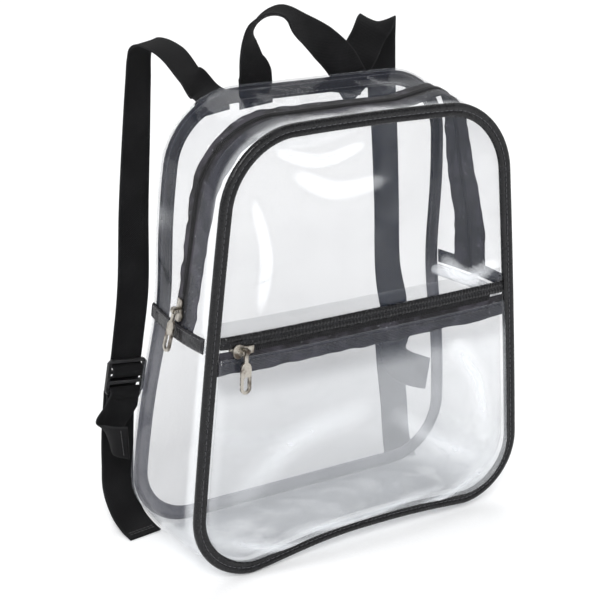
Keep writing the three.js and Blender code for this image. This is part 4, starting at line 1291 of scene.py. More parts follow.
@dataclass
class Gusset:
    """The clear side walls: the lower one under the bag and the two beside the main zip."""

    form: BagForm
    slit: float = 7.0
    ripple_height: float = 0.9
    broad: float = 34.0
    broad_raise: float = 0.2
    fine: float = 13.0
    fine_share: float = 0.3
    calm_steps: int = 6
    floor_calm: float = 0.2
    floor_reach: float = 6.0
    roll: float = 4.6

    def strip(self, indices: Sequence[int], shares: Callable[[int], Sequence[float]], seed: float,
              milk_and_highlight: Callable[[float, int], float]) -> Draft:
        """A strip of the wall as a thin closed sheet.

        Args:
            indices: Edge points.
            shares: Gives the places in the depth at an edge point.
            seed: Moves the crumples.
            milk_and_highlight: Gives the milkiness and painted highlight at a place in the depth and an edge point.

        Returns:
            The strip's draft.
        """
        form = self.form
        outer, inner, runs = [], [], []
        along = 0.0
        for step, i in enumerate(indices):
            places = shares(i)
            row_out, row_in, row_run = [], [], []
            for place in places:
                point = form.wall_point(i, place, 0.0)
                ends = min(1.0, step / self.calm_steps, (len(indices) - 1 - step) / self.calm_steps)
                lift = self.crumple(point, place, seed) * ends
                row_out.append(form.wall_point(i, place, -lift))
                row_in.append(form.wall_point(i, place, form.sheet - lift))
                row_run.append((along, place * form.depth_at(point[2]), milk_and_highlight(place, i)))
            if outer:
                along += float(np.linalg.norm(np.array(row_out[0]) - outer[-1][0]))
                row_run = [(along, a, m) for _, a, m in row_run]
            outer.append(row_out)
            inner.append(row_in)
            runs.append(row_run)
        return Draft().shell(outer, inner, runs)

    def crumple(self, point: np.ndarray, place: float, seed: float) -> float:
        """How far the crumpled sheet stands out at a place, calm at its edges and on the floor.

        Args:
            point: The place on the smooth wall.
            place: Its share in the depth.
            seed: Moves the crumples.

        Returns:
            Millimetres.
        """
        lift = max(0.0, ripple(point, self.broad, seed) + self.broad_raise)
        lift += self.fine_share * max(0.0, ripple(point, self.fine, seed + 3))
        edge = math.sin(math.pi * min(1.0, max(0.0, place)))
        calm = self.floor_calm if point[2] < self.floor_reach else 1.0
        return self.ripple_height * lift * min(1.0, 2.5 * edge) * calm

    def rim_milk_and_highlight(self, place: float, i: int) -> float:
        """Milkiness and painted highlight of the wall: highlight streaks on the folds beside the bound edge, a little
        at the back rim, soft painted reflection clouds, and whiter within 45 mm of the floor.

        Args:
            place: Place in the depth.
            i: Number of the edge point.

        Returns:
            A share from 0 to 1.
        """
        point = self.form.wall_point(i, place, 0.0)
        # Painted highlight streaks on the folds beside the bound edge.
        streak = 0.5 + 0.5 * ripple(point, 30.0, 11.0)
        front = math.exp(-((place / 0.07) ** 2))
        rear = math.exp(-(((1 - place) / 0.05) ** 2))
        cloud = max(0.0, ripple(point, 40.0, 5.0) - 0.3) * 0.2
        low = 0.32 * float(smoothstep(-point[2], -45.0, -12.0))
        return min(1.0, 0.5 * front * streak + 0.02 * rear + cloud + low)

    def rolled_edge(self, side: int) -> Draft:
        """The clear edge rolled up inside the wall under the joint.

        Args:
            side: 1 on the right and -1 on the left.

        Returns:
            The roll's draft.
        """
        form = self.form
        i = form.seam_low if side > 0 else form.count - form.seam_low
        sections, runs = [], []
        radius = self.roll if side > 0 else 0.5 * self.roll
        for step in range(41):
            share = 0.06 + 0.88 * step / 40
            base = form.wall_point(i, share, form.sheet + form.gap + radius)
            base[2] -= 1.6 * radius
            row, run = [], []
            for k in range(28):
                turn = math.tau * k / 28
                wave = 1.0 + 0.12 * ripple(base + np.array([0.0, 0.0, 4.0 * math.sin(turn)]), 12.0, 2.0)
                spiral = radius * wave * (0.82 + 0.18 * k / 28)
                row.append(base + spiral * np.array([side * math.cos(turn), 0.0, math.sin(turn)]))
                # Its white, in bands round the roll, is a painted highlight.
                run.append((share * form.depth_at(base[2]), radius * turn, 0.3 + 0.3 * abs(math.sin(turn * 1.5))))
            sections.append(row)
            runs.append(run)
        return Draft().sweep(sections, runs)

    def build(self, finishes: Finishes) -> list[bpy.types.Object]:
        """Makes the three walls and the two rolled edges.

        Args:
            finishes: The finishes.

        Returns:
            The pieces.
        """
        form = self.form

        def slit_share(i: int) -> float:
            """Returns half the zip's slit as a share of the depth."""
            return self.slit / form.depth_at(form.back_loop.z[i])

        plans = (
            ("gusset_lower_sheet", "gusset_lower", form.under_bottom(), lambda i: np.linspace(0, 1, 29), 1.0),
            ("gusset_rear_sheet", "gusset_rear", form.over_top(),
             lambda i: np.linspace(form.zip_share(i) + slit_share(i), 1, 15), 2.0),
            ("gusset_front_sheet", "gusset_front", form.over_top(),
             lambda i: np.linspace(0, form.zip_share(i) - slit_share(i), 13), 3.0),
        )
        made = []
        for name, node, indices, shares, seed in plans:
            draft = self.strip(indices, shares, seed, self.rim_milk_and_highlight)
            piece = draft.build(name, finishes.vinyl, Slot.SHEET, [node])
            length = float(np.concatenate(draft.runs)[:, 0].max()) * MM
            made.append(piece)
        for side, label in ((1, "right"), (-1, "left")):
            made.append(self.rolled_edge(side).build(f"turned_edge_{label}", finishes.vinyl, Slot.SHEET))
        return made


# Bound edges and seams


@dataclass
class BoundEdges:
    """The rounded front binding, the tape over the back seam and the two seam strips."""

    form: BagForm
    tape_width: float = 10.0
    tape_thickness: float = 1.2
    strip_width: float = 10.0
    strip_thickness: float = 1.5
    groove: float = 0.51
    groove_front: float = -0.62
    groove_back: float = 0.98
    tape_rows: tuple[float, float] = (0.2, 0.8)
    strip_row: float = 0.72
    thread: float = 0.27
    fine_thread: float = 0.24
    floor_gap: float = 0.3

    def ring(self, loop: Loop, plane: Callable[[float], float], profile: Sequence[tuple[float, float, float]],
             ruffle: float = 0.0) -> Draft:
        """A closed ring that follows an edge.

        Args:
            loop: The edge.
            plane: Y of the edge's plane at a height.
            profile: Inset, offset along Y and paleness of each corner of the section; on the front binding the
                paleness is a painted highlight line.
            ruffle: How far the ring waves along Y.

        Returns:
            The ring's draft.
        """
        sections, runs = [], []
        along = 0.0
        for k in range(len(loop.x)):
            row, run = [], []
            for inset, out, pale in profile:
                x, z = loop.x[k] - loop.nx[k] * inset, loop.z[k] - loop.nz[k] * inset
                wave = ruffle * ripple((x, 0, z), 16.0, 4.0)
                row.append((x, plane(z) + out + wave, max(0.0, z)))
                run.append((along, inset, pale))
            along += float(np.hypot(loop.x[k] - loop.x[k - 1], loop.z[k] - loop.z[k - 1])) if k else 4.0
            sections.append(row)
            runs.append(run)
        return Draft().sweep(sections, runs, True)

    def binding_profile(self) -> list[tuple[float, float, float]]:
        """Returns the two-lobed section of the front binding, with a painted highlight line in its groove."""
        width, half = self.form.binding_width, self.form.binding_thickness / 2
        front, back = [], []
        for k in range(25):
            u = 0.5 - 0.5 * math.cos(math.pi * k / 24)
            outer = math.sqrt(max(0.0, 1 - abs((u - 0.26) / 0.26) ** 2.6))
            inner = 0.8 * math.sqrt(max(0.0, 1 - abs((u - 0.76) / 0.24) ** 3))
            # A painted highlight line in the groove between the two lobes.
            pale = math.exp(-(((u - 0.52) / 0.04) ** 2))
            front.append((u * width, -half * max(0.12, outer, inner, 0.55 if 0.4 < u < 0.65 else 0.0), pale))
            back.append((u * width, half * max(0.12, math.sqrt(max(0.0, 1 - (2 * u - 1) ** 4))), 0.0))
        return front + back[::-1]

    def sewn_ring(self, draft: Draft, places: np.ndarray, plane: Callable[[float], float], out: float,
                  side: float, radius: float) -> None:
        """Adds a row of stitches all round an edge.

        Args:
            draft: Where the stitches go.
            places: N x 2 places of the row.
            plane: Y of the edge's plane at a height.
            out: Offset from that plane along Y.
            side: -1 for stitches that face the front and 1 for the back.
            radius: Radius of the thread.
        """
        places = np.vstack([places, places[:1]])
        heights = np.maximum(self.floor_gap, places[:, 1])
        path = np.stack([places[:, 0], plane(places[:, 1]) + out, heights], axis=1)
        add_stitches(draft, path, np.tile((0.0, side, 0.0), (len(path), 1)), radius=radius)

    def binding_stitches(self) -> Draft:
        """Returns the stitches in the binding's groove, on its front and its back."""
        form = self.form
        draft = Draft()
        places = form.front_loop.inward(form.binding_width * self.groove)
        for out, side in ((self.groove_front, -1.0), (self.groove_back, 1.0)):
            self.sewn_ring(draft, places, form.front_y, out * form.binding_thickness / 2, side, self.thread)
        return draft

    def tape_stitches(self) -> Draft:
        """Returns the two rows of stitches through the back tape."""
        form = self.form
        draft = Draft()
        for share in self.tape_rows:
            places = form.back_loop.inward(form.sheet + form.gap + self.tape_width * share)
            self.sewn_ring(draft, places, form.back_y, -self.tape_thickness, -1.0, self.fine_thread)
        return draft

    def strip_point(self, side: int, share: float, rise: float, out: float) -> np.ndarray:
        """A place on a seam strip.

        Args:
            side: 1 on the right and -1 on the left.
            share: Place in the depth.
            rise: From -1 at its lower edge to 1 at its upper edge.
            out: Millimetres off the wall.

        Returns:
            The place.
        """
        form = self.form
        low = form.seam_low if side > 0 else form.count - form.seam_low
        start = low if rise < 0 else low + side
        near = form.wall_point(start, share, -form.gap)
        ahead = form.wall_point(start + side * (1 if rise >= 0 else -1), share, -form.gap)
        slope = (ahead[0] - near[0]) / (ahead[2] - near[2])
        half = self.strip_width / 2
        return np.array([near[0] + slope * rise * half + side * out, near[1], form.seam_height + rise * half])

    def seam_strip(self, side: int) -> Draft:
        """The black bound joint across the gusset.

        Args:
            side: 1 on the right and -1 on the left.

        Returns:
            The strip's draft.
        """
        sections, runs = [], []
        rises = np.linspace(-1, 1, 13)
        for step in range(41):
            share = 0.02 + 0.98 * step / 40
            row, run = [], []
            for rise in rises:
                dome = math.sqrt(max(0.0, 1 - abs(rise) ** 4))
                wave = 0.25 * ripple((rise * 5, share * 85, side), 9.0, 3.0)
                out = self.strip_thickness * (0.35 + 0.65 * dome) + wave * dome
                row.append(self.strip_point(side, share, rise, out))
                groove = math.exp(-(((abs(rise) - self.strip_row) / 0.12) ** 2)) * 0.5
                run.append((share * 80, rise * 5, groove))
            for rise in rises[::-1]:
                row.append(self.strip_point(side, share, rise, 0.0))
                run.append((share * 80, rise * 5, 0.0))
            sections.append(row)
            runs.append(run)
        return Draft().sweep(sections, runs)

    def strip_stitches(self, side: int) -> Draft:
        """The two rows of stitches on a seam strip.

        Args:
            side: 1 on the right and -1 on the left.

        Returns:
            The stitches' draft.
        """
        draft = Draft()
        for rise in (-self.strip_row, self.strip_row):
            shares = np.linspace(0.05, 0.98, 40)
            path = np.array([self.strip_point(side, s, rise, self.strip_thickness * 0.92) for s in shares])
            add_stitches(draft, path, np.tile((float(side), 0.0, 0.0), (len(path), 1)))
        return draft

    def build(self, finishes: Finishes) -> list[bpy.types.Object]:
        """Makes the bound edges and their stitches.

        Args:
            finishes: The finishes.

        Returns:
            The pieces.
        """
        form = self.form
        outer, inner, thick = form.sheet + form.gap, form.sheet + form.gap + self.tape_width, self.tape_thickness
        flat = [(outer + (inner - outer) * k / 8, -thick, math.exp(-(((k - 1.6) / 0.6) ** 2))) for k in range(9)]
        profile = flat + [(inset, 0.0, 0.0) for inset, _, _ in flat[::-1]]
        binding = self.ring(form.front_loop, form.front_y, self.binding_profile())
        tape = self.ring(form.back_loop, form.back_y, profile)
        made = [
            binding.build("front_bound_edge", finishes.edge, Slot.BINDING, ["front_binding"]),
            self.binding_stitches().build("front_edge_stitches", finishes.grey_thread, Slot.BINDING),
            tape.build("back_tape", finishes.back_tape, Slot.BINDING, ["back_seam_tape"]),
            self.tape_stitches().build("back_tape_stitches", finishes.grey_thread, Slot.BINDING),
        ]
        for side, label in ((1, "right"), (-1, "left")):
            strip = self.seam_strip(side)
            made.append(strip.build(f"joint_strip_{label}", finishes.seam, Slot.BINDING, [f"seam_strip_{label}"]))
            stitches = self.strip_stitches(side)
            made.append(stitches.build(f"joint_stitches_{label}", finishes.thread, Slot.BINDING))
        return made


# Zips


@dataclass
class ZipTrack:
    """The line of a zip: places, outward directions and directions across it."""

    centre: np.ndarray
    out: np.ndarray
    across: np.ndarray

    def reach(self) -> np.ndarray:
        """Returns the length along the line at each place."""
        return reach_along(self.centre)

    def at(self, distance: float) -> tuple[np.ndarray, np.ndarray, np.ndarray]:
        """The place and directions at a length along the line.

        Args:
            distance: Millimetres from its start.

        Returns:
            The place, the outward direction and the direction across.
        """
        reach = self.reach()
        found = [row_at(table, reach, distance) for table in (self.centre, self.out, self.across)]
        return found[0], found[1] / np.linalg.norm(found[1]), found[2] / np.linalg.norm(found[2])


@dataclass
class ZipCoil:
    """Two interlocked rows of nylon coils on a thin core."""

    width: float = 5.0
    thickness: float = 2.6
    pitch: float = 1.35

    def draft(self, track: ZipTrack) -> Draft:
        """Builds the coils along a line.

        Args:
            track: The zip's line.

        Returns:
            The coil's draft.
        """
        draft = Draft()
        length = float(track.reach()[-1])
        turns = [math.tau * k / 10 for k in range(10)]
        rings, runs = [], []
        for distance in np.arange(0.0, length, 2.0):
            centre, out, across = track.at(distance)
            rings.append([centre + across * math.cos(t) * self.width * 0.42 + out * math.sin(t) * self.thickness * 0.3
                          for t in turns])
            runs.append([(distance, self.width * 0.42 * t, 0.0) for t in turns])
        draft.sweep(rings, runs)
        reach = track.reach()
        tables = [track.centre, track.out, track.across]
        shape = ((-0.46, 0.12, 0.3), (-0.4, 0.34, 0.5), (-0.22, 0.46, 0.52), (0.0, 0.44, 0.5), (0.09, 0.3, 0.34))
        for row in (-1, 1):
            for distance in np.arange(self.pitch * (1.0 if row > 0 else 0.5), length - self.pitch, self.pitch):
                centre, out, across = (row_at(table, reach, distance) for table in tables)
                along = np.cross(out, across)
                for face in (1, -1):
                    tooth, marks = [], []
                    for wide, lift, thick in shape:
                        middle = centre + row * across * wide * self.width + face * out * lift * self.thickness * 0.8
                        radius = thick * self.pitch * 0.52
                        tooth.append([middle + radius * (math.cos(t) * along + math.sin(t) * out * 1.1)
                                      for t in (math.tau * k / 6 for k in range(6))])
                        marks.append([(distance, wide * self.width, 0.0)] * 6)
                    draft.sweep(tooth, marks)
        return draft


@dataclass
class MainZip:
    """The long zip over the top: two tapes and the coil."""

    form: BagForm
    coil_width: float = 5.0
    scallop: float = 2.0
    slider_height: float = 176.0
    slider_length: float = 15.0
    seat: float = 3.3
    meet: float = 0.4

    def tape(self, side: int) -> Draft:
        """One woven tape inside the gusset.

        Args:
            side: 1 behind the coil and -1 before it.

        Returns:
            The tape's draft.
        """
        form = self.form
        inset = form.sheet + form.gap
        outer, inner, runs = [], [], []
        along = 0.0
        for i in form.over_top():
            depth = form.depth_at(form.back_loop.z[i])
            far = self.coil_width / 2 + form.gap + form.zip_share(i, 2 if side > 0 else 3)
            far += self.scallop * ripple((form.back_loop.x[i], side * 9.0, form.back_loop.z[i]), 9.0, 8.0)
            widths = np.linspace(self.meet, far, 13)
            share = [form.zip_share(i) + side * width / depth for width in widths]
            row = [form.wall_point(i, s, inset) for s in share]
            if outer:
                along += float(np.linalg.norm(row[0] - outer[-1][0]))
            outer.append(row)
            inner.append([form.wall_point(i, s, inset + form.zip_tape) for s in share])
            runs.append([(along, width, 0.0) for width in widths])
        return Draft().shell(outer, inner, runs)

    def track(self) -> ZipTrack:
        """Returns the coil's line, from the right joint over the top down to the slider."""
        form = self.form
        inset = form.sheet + form.gap + form.zip_tape / 2
        start = self.slider_height + self.slider_length / 2 - self.seat
        places, outs, sides = [], [], []
        for i in form.over_top():
            depth = form.depth_at(form.back_loop.z[i])
            share = form.zip_share(i)
            place = form.wall_point(i, share, inset)
            if i > form.half_count and place[2] < start:
                break
            outs.append(form.wall_point(i, share, inset - 1.0) - place)
            sides.append(form.wall_point(i, share + 1.0 / depth, inset) - place)
            places.append(place)
        return ZipTrack(np.array(places), np.array(outs), np.array(sides))

    def build(self, finishes: Finishes) -> list[bpy.types.Object]:
        """Makes the tapes and the coil.

        Args:
            finishes: The finishes.

        Returns:
            The pieces.
        """
        coil = ZipCoil(width=self.coil_width).draft(self.track())
        return [
            self.tape(1).build("main_tape_rear", finishes.tape, Slot.TAPE, ["main_zip_tape_rear"]),
            self.tape(-1).build("main_tape_front", finishes.tape, Slot.TAPE, ["main_zip_tape_front"]),
            coil.build("main_coil", finishes.coil, Slot.COIL, ["main_zip_coil"]),
        ]


@dataclass
class PocketZip:
    """The zip across the front: a straight upper tape, a wavy lower tape and the coil."""

    form: BagForm
    coil_width: float = 5.0
    upper: float = 9.5
    lower: float = 17.0
    slider_inset: float = 15.0
    slider_length: float = 15.0
    band: float = 1.7
    seam_in: float = 2.5
    coil_stop: float = 12.0
    seat: float = 3.3
    meet: float = 0.4
    tuck: float = 1.2

    def puff(self, up: float, x: float) -> float:
        """How far the bound upper tape stands out.

        Args:
            up: 0 at its lower edge and 1 at its upper edge.
            x: Place across the bag.

        Returns:
            Millimetres off the tape's plane.
        """
        lobes = abs(math.sin(math.tau * min(1.0, 0.04 + 0.94 * up))) ** 0.45
        ribs = 0.12 * math.sin(math.tau * x / 2.6) + 0.25 * ripple((x, 0, 4.0 * up), 7.0, 12.0)
        return self.band * lobes * (1.0 + ribs)

    def tape(self, low: float, high: float, wavy: bool) -> Draft:
        """One woven tape.

        Args:
            low: Its lower edge.
            high: Its upper edge.
            wavy: True gives its lower edge the waves of a tape that is pulled in by its stitching, and
                False the rounded bound edge of the upper one.

        Returns:
            The tape's draft.
        """
        form = self.form
        bottom, top = form.reach_at(low), form.reach_at(high)
        outer, inner, runs = [], [], []
        for share in np.linspace(-1, 1, 161 if wavy else 481):
            row_out, row_in, run = [], [], []
            for up in np.linspace(0, 1, 11 if wavy else 17):
                x = share * (bottom + (top - bottom) * up)
                wave = (0.5 + 0.5 * ripple((x, 0, 0), 14.0, 6.0)) * (1 - up) ** 2 if wavy else 0.0
                z = low + (high - low) * up + 3.2 * wave
                y = float(form.front_skin(np.array(x), np.array(z)))
                fade = min(1.0, (1 - abs(share)) * 40)
                out = 0.0 if wavy else fade * self.puff(up, x)
                row_out.append((x, y - form.zip_tape / 2 - out, z))
                row_in.append((x, y + form.zip_tape / 2, z))
                # On the upper tape the third value greys the middle between its lobes: a painted highlight line.
                run.append((x, z, 0.6 * math.exp(-(((up - 0.5) / 0.08) ** 2))))
            outer.append(row_out)
            inner.append(row_in)
            runs.append(run)
        return Draft().shell(outer, inner, runs)

    def track(self) -> ZipTrack:
        """Returns the coil's line, from the slider to the right."""
        form = self.form
        z = form.pocket_zip_height
        reach = form.reach_at(z)
        start = -(reach - self.slider_inset) - (self.slider_length / 2 - self.seat)
        x = np.linspace(start, reach - self.coil_stop, 90)
        y = form.front_skin(x, np.full_like(x, z))
        places = np.stack([x, y, np.full_like(x, z)], axis=1)
        out = np.tile((0.0, -1.0, 0.0), (len(x), 1))
        return ZipTrack(places, out, np.tile((0.0, 0.0, 1.0), (len(x), 1)))

    def stitches(self) -> Draft:
        """Returns the stitches that hold the pocket's sheet to the lower tape."""
        form = self.form
        draft = Draft()
        z = form.pocket_panel_top - self.seam_in
        reach = form.reach_at(z) - 1.0
        x = np.linspace(-reach, reach, 120)
        flat = np.full_like(x, z)
        y = form.panel_y(Panel.POCKET, x, flat) - form.sheet / 2
        path = np.stack([x, y, flat], axis=1)
        add_stitches(draft, path, np.tile((0.0, -1.0, 0.0), (len(path), 1)), radius=0.24)
        return draft

    def build(self, finishes: Finishes) -> list[bpy.types.Object]:
        """Makes the tapes, the coil and the stitches.

        Args:
            finishes: The finishes.

        Returns:
            The pieces.
        """
        form = self.form
        z, half = form.pocket_zip_height, self.coil_width / 2 + form.gap
        upper = self.tape(z + half - self.tuck, z + self.upper, False)
        lower = self.tape(z - self.lower, z - self.meet, True)
        coil = ZipCoil(width=self.coil_width).draft(self.track())
        return [
            upper.build("pocket_tape_upper", finishes.edge, Slot.TAPE, ["pocket_zip_tape_upper"]),
            lower.build("pocket_tape_lower", finishes.tape, Slot.TAPE, ["pocket_zip_tape_lower"]),
            coil.build("pocket_coil", finishes.coil, Slot.COIL, ["pocket_zip_coil"]),
            self.stitches().build("pocket_stitches", finishes.thread, Slot.BINDING),
        ]


@dataclass
class MetalParts:
    """The sliders and pulls, with rounded edges."""

    slider_radius: float = 0.35
    pull_radius: float = 0.45

    def build(self, finishes: Finishes) -> list[bpy.types.Object]:
        """Makes the sliders and pulls.

        Args:
            finishes: The finishes.

        Returns:
            The pieces.
        """
        metal, slot = finishes.metal, Slot.METAL
        return [
            rounded_copy("pocket_zip_slider", "pocket_slider", metal, slot, self.slider_radius),
            rounded_copy("main_zip_slider", "main_slider", metal, slot, self.slider_radius),
            rounded_copy("pocket_zip_pull", "pocket_pull_tab", metal, slot, self.pull_radius, Body.POCKET_PULL),
            rounded_copy("main_zip_pull", "main_pull_tab", metal, slot, self.pull_radius, Body.MAIN_PULL),
        ]


# Webbing


@dataclass(frozen=True)
class Station:
    """A place along webbing and the direction of its width."""

    place: np.ndarray
    width: np.ndarray


Row = tuple[float, float, float, float, float]


@dataclass(frozen=True)
class SewnEnd:
    """A webbing end sewn flat to the back; lean in degrees, the rest as shares."""

    side: float
    lean: float
    drift: float
    over: float
    layer: float = 0.0


@dataclass(frozen=True)
class StrapPlan:
    """Tables of one shoulder strap: side, behind, up, turn and lean of each station."""

    label: str
    sewn: SewnEnd
    upper: tuple[Row, ...]
    lock: Row
    tail: tuple[Row, ...]
    lower: tuple[Row, ...]


LEFT_STRAP = StrapPlan(
    "left",
    SewnEnd(-0.7, 4, 0.15, -0.3, 0.9),
    ((-0.72, 0.25, 0.99, 13, 7), (-0.79, 0.34, 1.02, 24, 1), (-0.85, 0.61, 1.06, 21, 3),
     (-0.92, 0.86, 1.078, 28, 4), (-0.96, 1.01, 1.076, 23, 2), (-0.97, 1.11, 1.052, 26, -5),
     (-0.98, 1.1, 0.996, 22, -9), (-1.01, 1.0, 0.892, 17, -10), (-1.04, 0.92, 0.717, 11, -11),
     (-1.06, 0.83, 0.538, 6, -11)),
    (-1.12, 0.77, 0.34, 7, -9),
    ((-1.15, 0.9, 0.2, 2, -11), (-1.155, 0.87, 0.129, 1, -11), (-1.18, 0.69, 0.068, 3, -8),
     (-1.18, 0.34, 0.025, 0, -4), (-1.17, 0.03, 0.008, 0, -1), (-1.16, -0.2, 0.002, 0, 0)),
    ((-1.2, 0.7, 0.256, 10, -32), (-1.275, 0.66, 0.222, 14, -60), (-1.27, 0.44, 0.21, 40, -76),
     (-1.205, 0.22, 0.21, 62, -84)),
)

RIGHT_STRAP = StrapPlan(
    "right",
    SewnEnd(0.33, -2, -0.2, -0.2, 2.5),
    ((0.4, 0.25, 1.022, 0, -4), (0.49, 0.4, 1.047, 0, -5), (0.59, 0.58, 1.078, 0, -5),
     (0.67, 0.72, 1.084, 0, -7), (0.72, 0.81, 1.066, 0, -6), (0.73, 0.81, 1.03, 0, -5),
     (0.74, 0.73, 0.924, 3, -6), (0.76, 0.67, 0.843, 8, -8), (0.8, 0.6, 0.664, 10, -10),
     (0.84, 0.56, 0.486, 9, -6)),
    (0.92, 0.54, 0.33, 5, -2),
    ((0.97, 0.68, 0.19, 2, -8), (0.99, 0.62, 0.12, 1, -8), (0.98, 0.46, 0.045, 0, -5),
     (0.96, 0.28, 0.012, 0, -2), (0.94, 0.12, 0.002, 0, 0)),
    ((0.96, 0.5, 0.24, 10, 16), (1.06, 0.47, 0.215, 20, 54), (1.11, 0.34, 0.21, 60, 76),
     (1.15, 0.2, 0.208, 90, 84)),
)

HANDLE_TABLE: tuple[Row, ...] = (
    (-0.43, 0.05, 0.33, 21, -9), (-0.43, 0.09, 0.58, 37, -10), (-0.4, 0.14, 0.76, 50, -9),
    (-0.31, 0.17, 0.9, 52, -4), (-0.19, 0.17, 0.91, 44, 2), (-0.04, 0.14, 0.69, 34, 20),
    (0.09, 0.08, 0.46, 14, 32),
)


@dataclass
class Webbing:
    """The handle and the straps, 25 mm wide, and how they are laid and sewn."""

    form: BagForm
    width: float = 25.0
    thickness: float = 1.4
    strap_reach: float = 40.0
    handle_rise: float = 45.0
    sewn_length: float = 16.0
    seat_gap: float = 0.8
    lock_bar: float = 2.4
    lock_slot: float = 5.0
    lock_thickness: float = 2.4
    lock_bars: int = 4
    per_span: int = 9
    stitch_seat: float = 0.46
    box_start: float = 2.0
    box_end: float = 13.0
    box_half: float = 9.5
    hem_half: float = 10.5
    lock_radius: float = 0.5

    @staticmethod
    def direction(turn: float, lean: float) -> np.ndarray:
        """The direction of a webbing's width."""
        t, p = math.radians(turn), math.radians(lean)
        return np.array([math.cos(t) * math.cos(p), math.sin(t) * math.cos(p), math.sin(p)])

    def station(self, row: Row) -> Station:
        """A station from a row of a strap's table.

        Args:
            row: Side, behind, up, turn and lean.

        Returns:
            The station.
        """
        side, behind, up, turn, lean = row
        form = self.form
        z = max(self.thickness / 2 + 0.1, up * form.back_height)
        y = form.back_y(z) + form.sheet + form.gap + behind * self.strap_reach
        return Station(np.array([side * form.top_width / 2, y, z]), self.direction(turn, lean))

    def sewn_end(self, end: SewnEnd) -> list[Station]:
        """The stations of an end that lies against the back.

        Args:
            end: Its plan.

        Returns:
            Three stations from the cut end upwards.
        """
        form = self.form
        x = end.side * form.top_width / 2
        rim = form.rim_height(x)
        width = self.direction(0, end.lean)
        found = []
        for share in (1.0, 0.5, -end.over):
            px, z = x + end.drift * self.sewn_length * share, rim - self.sewn_length * share
            behind = []
            for across in (-self.width / 2, 0.0, self.width / 2):
                height = min(rim, z + across * width[2])
                place = np.array(px + across * width[0])
                behind.append(float(form.panel_y(Panel.BACK, place, np.array(height))))
            seat = form.sheet / 2 + self.seat_gap + self.thickness / 2
            y = max(behind) + seat + end.layer * (self.thickness + form.gap)
            found.append(Station(np.array([px, y, z]), width))
        return found

    def smooth(self, stations: Sequence[Station], per_span: int | None = None) -> list[Station]:
        """Stations along a smooth curve.

        Args:
            stations: The given stations.
            per_span: Steps between two of them.

        Returns:
            The finer stations.
        """
        steps = per_span or self.per_span
        places = smooth_path(np.array([s.place for s in stations]), steps)
        found = []
        for k, place in enumerate(places):
            span = min(len(stations) - 2, k // steps)
            share = k / steps - span
            width = stations[span].width * (1 - share) + stations[span + 1].width * share
            found.append(Station(place, width / np.linalg.norm(width)))
        return found

    def frames(self, stations: Sequence[Station]) -> tuple[np.ndarray, np.ndarray, np.ndarray]:
        """The centres, width directions and thickness directions along webbing.

        Args:
            stations: The stations.

        Returns:
            Three N x 3 arrays.
        """
        places = np.array([s.place for s in stations])
        ahead = places[np.minimum(np.arange(len(places)) + 1, len(places) - 1)]
        behind = places[np.maximum(np.arange(len(places)) - 1, 0)]
        along = ahead - behind
        along /= np.linalg.norm(along, axis=1)[:, None]
        wide = np.array([s.width for s in stations])
        wide = wide - along * (wide * along).sum(axis=1)[:, None]
        wide /= np.linalg.norm(wide, axis=1)[:, None]
        return places, wide, np.cross(along, wide)

    def ribbon(self, stations: Sequence[Station], draft: Draft | None = None) -> Draft:
        """Woven webbing with rounded selvedges along stations.

        Args:
            stations: The stations.
            draft: A draft to add to, or None for a new one.

        Returns:
            The draft.
        """
        made = draft or Draft()
        places, wide, thick = self.frames(stations)
        reach = reach_along(places)
        half, flat = self.width / 2, self.thickness / 2
        across = [-1, -0.985, -0.94, -0.6, -0.2, 0.2, 0.6, 0.94, 0.985, 1]
        lift = [0.45, 0.8, 1.0, 0.86, 0.96, 0.96, 0.86, 1.0, 0.8, 0.45]
        profile = [(a * half, h * flat) for a, h in zip(across, lift)]
        profile += [(a * half, -h * flat) for a, h in zip(across[::-1], lift[::-1])]
        sections = np.stack([places + wide * a + thick * h for a, h in profile], axis=1)
        sections[..., 2] = np.maximum(0.0, sections[..., 2])
        runs = np.stack([np.stack([reach, np.full_like(reach, a), np.zeros_like(reach)], axis=1)
                         for a, _ in profile], axis=1)
        made.sweep(sections, runs)
        return made

    def sewing(self, stations: Sequence[Station], lines: Sequence[Sequence[tuple[float, float]]],
               sides: Sequence[int], draft: Draft) -> None:
        """Rows of stitches on webbing.

        Args:
            stations: The webbing's stations.
            lines: Lines of places: millimetres along and across.
            sides: 1 and -1 for the two faces.
            draft: Where the stitches go.
        """
        places, wide, thick = self.frames(stations)
        reach = reach_along(places)
        for line in lines:
            fine: list[tuple[float, float]] = []
            for a, b in zip(line, line[1:]):
                fine += [(a[0] + (b[0] - a[0]) * s / 8, a[1] + (b[1] - a[1]) * s / 8) for s in range(8)]
            fine.append(line[-1])
            for side in sides:
                path, normals = [], []
                for along, across in fine:
                    normal = row_at(thick, reach, along) * side
                    seat = row_at(places, reach, along) + normal * self.thickness * self.stitch_seat
                    path.append(seat + row_at(wide, reach, along) * across)
                    normals.append(normal)
                add_stitches(draft, np.array(path), np.array(normals), 2.4, 0.5, 0.3)

    @staticmethod
    def box_lines(start: float, end: float, half: float) -> list[list[tuple[float, float]]]:
        """A sewn box with a cross in it.

        Args:
            start: Where the box starts along the webbing.
            end: Where it ends.
            half: Half its width.

        Returns:
            The lines.
        """
        return [
            [(start, -half), (end, -half)], [(end, -half), (end, half)], [(end, half), (start, half)],
            [(start, half), (start, -half)], [(start, -half), (end, half)], [(start, half), (end, -half)],
        ]

    def lock_frame(self, row: Row) -> tuple[np.ndarray, np.ndarray, np.ndarray, np.ndarray]:
        """The frame of a ladder lock.

        Args:
            row: The lock's row of the strap's table.

        Returns:
            Its centre and the directions across, up and back.
        """
        centre = self.station(row).place
        across = self.direction(row[3], row[4])
        up = np.array([0.0, 0.0, 1.0]) - across * across[2]
        up /= np.linalg.norm(up)
        return centre, across, up, np.cross(up, across)

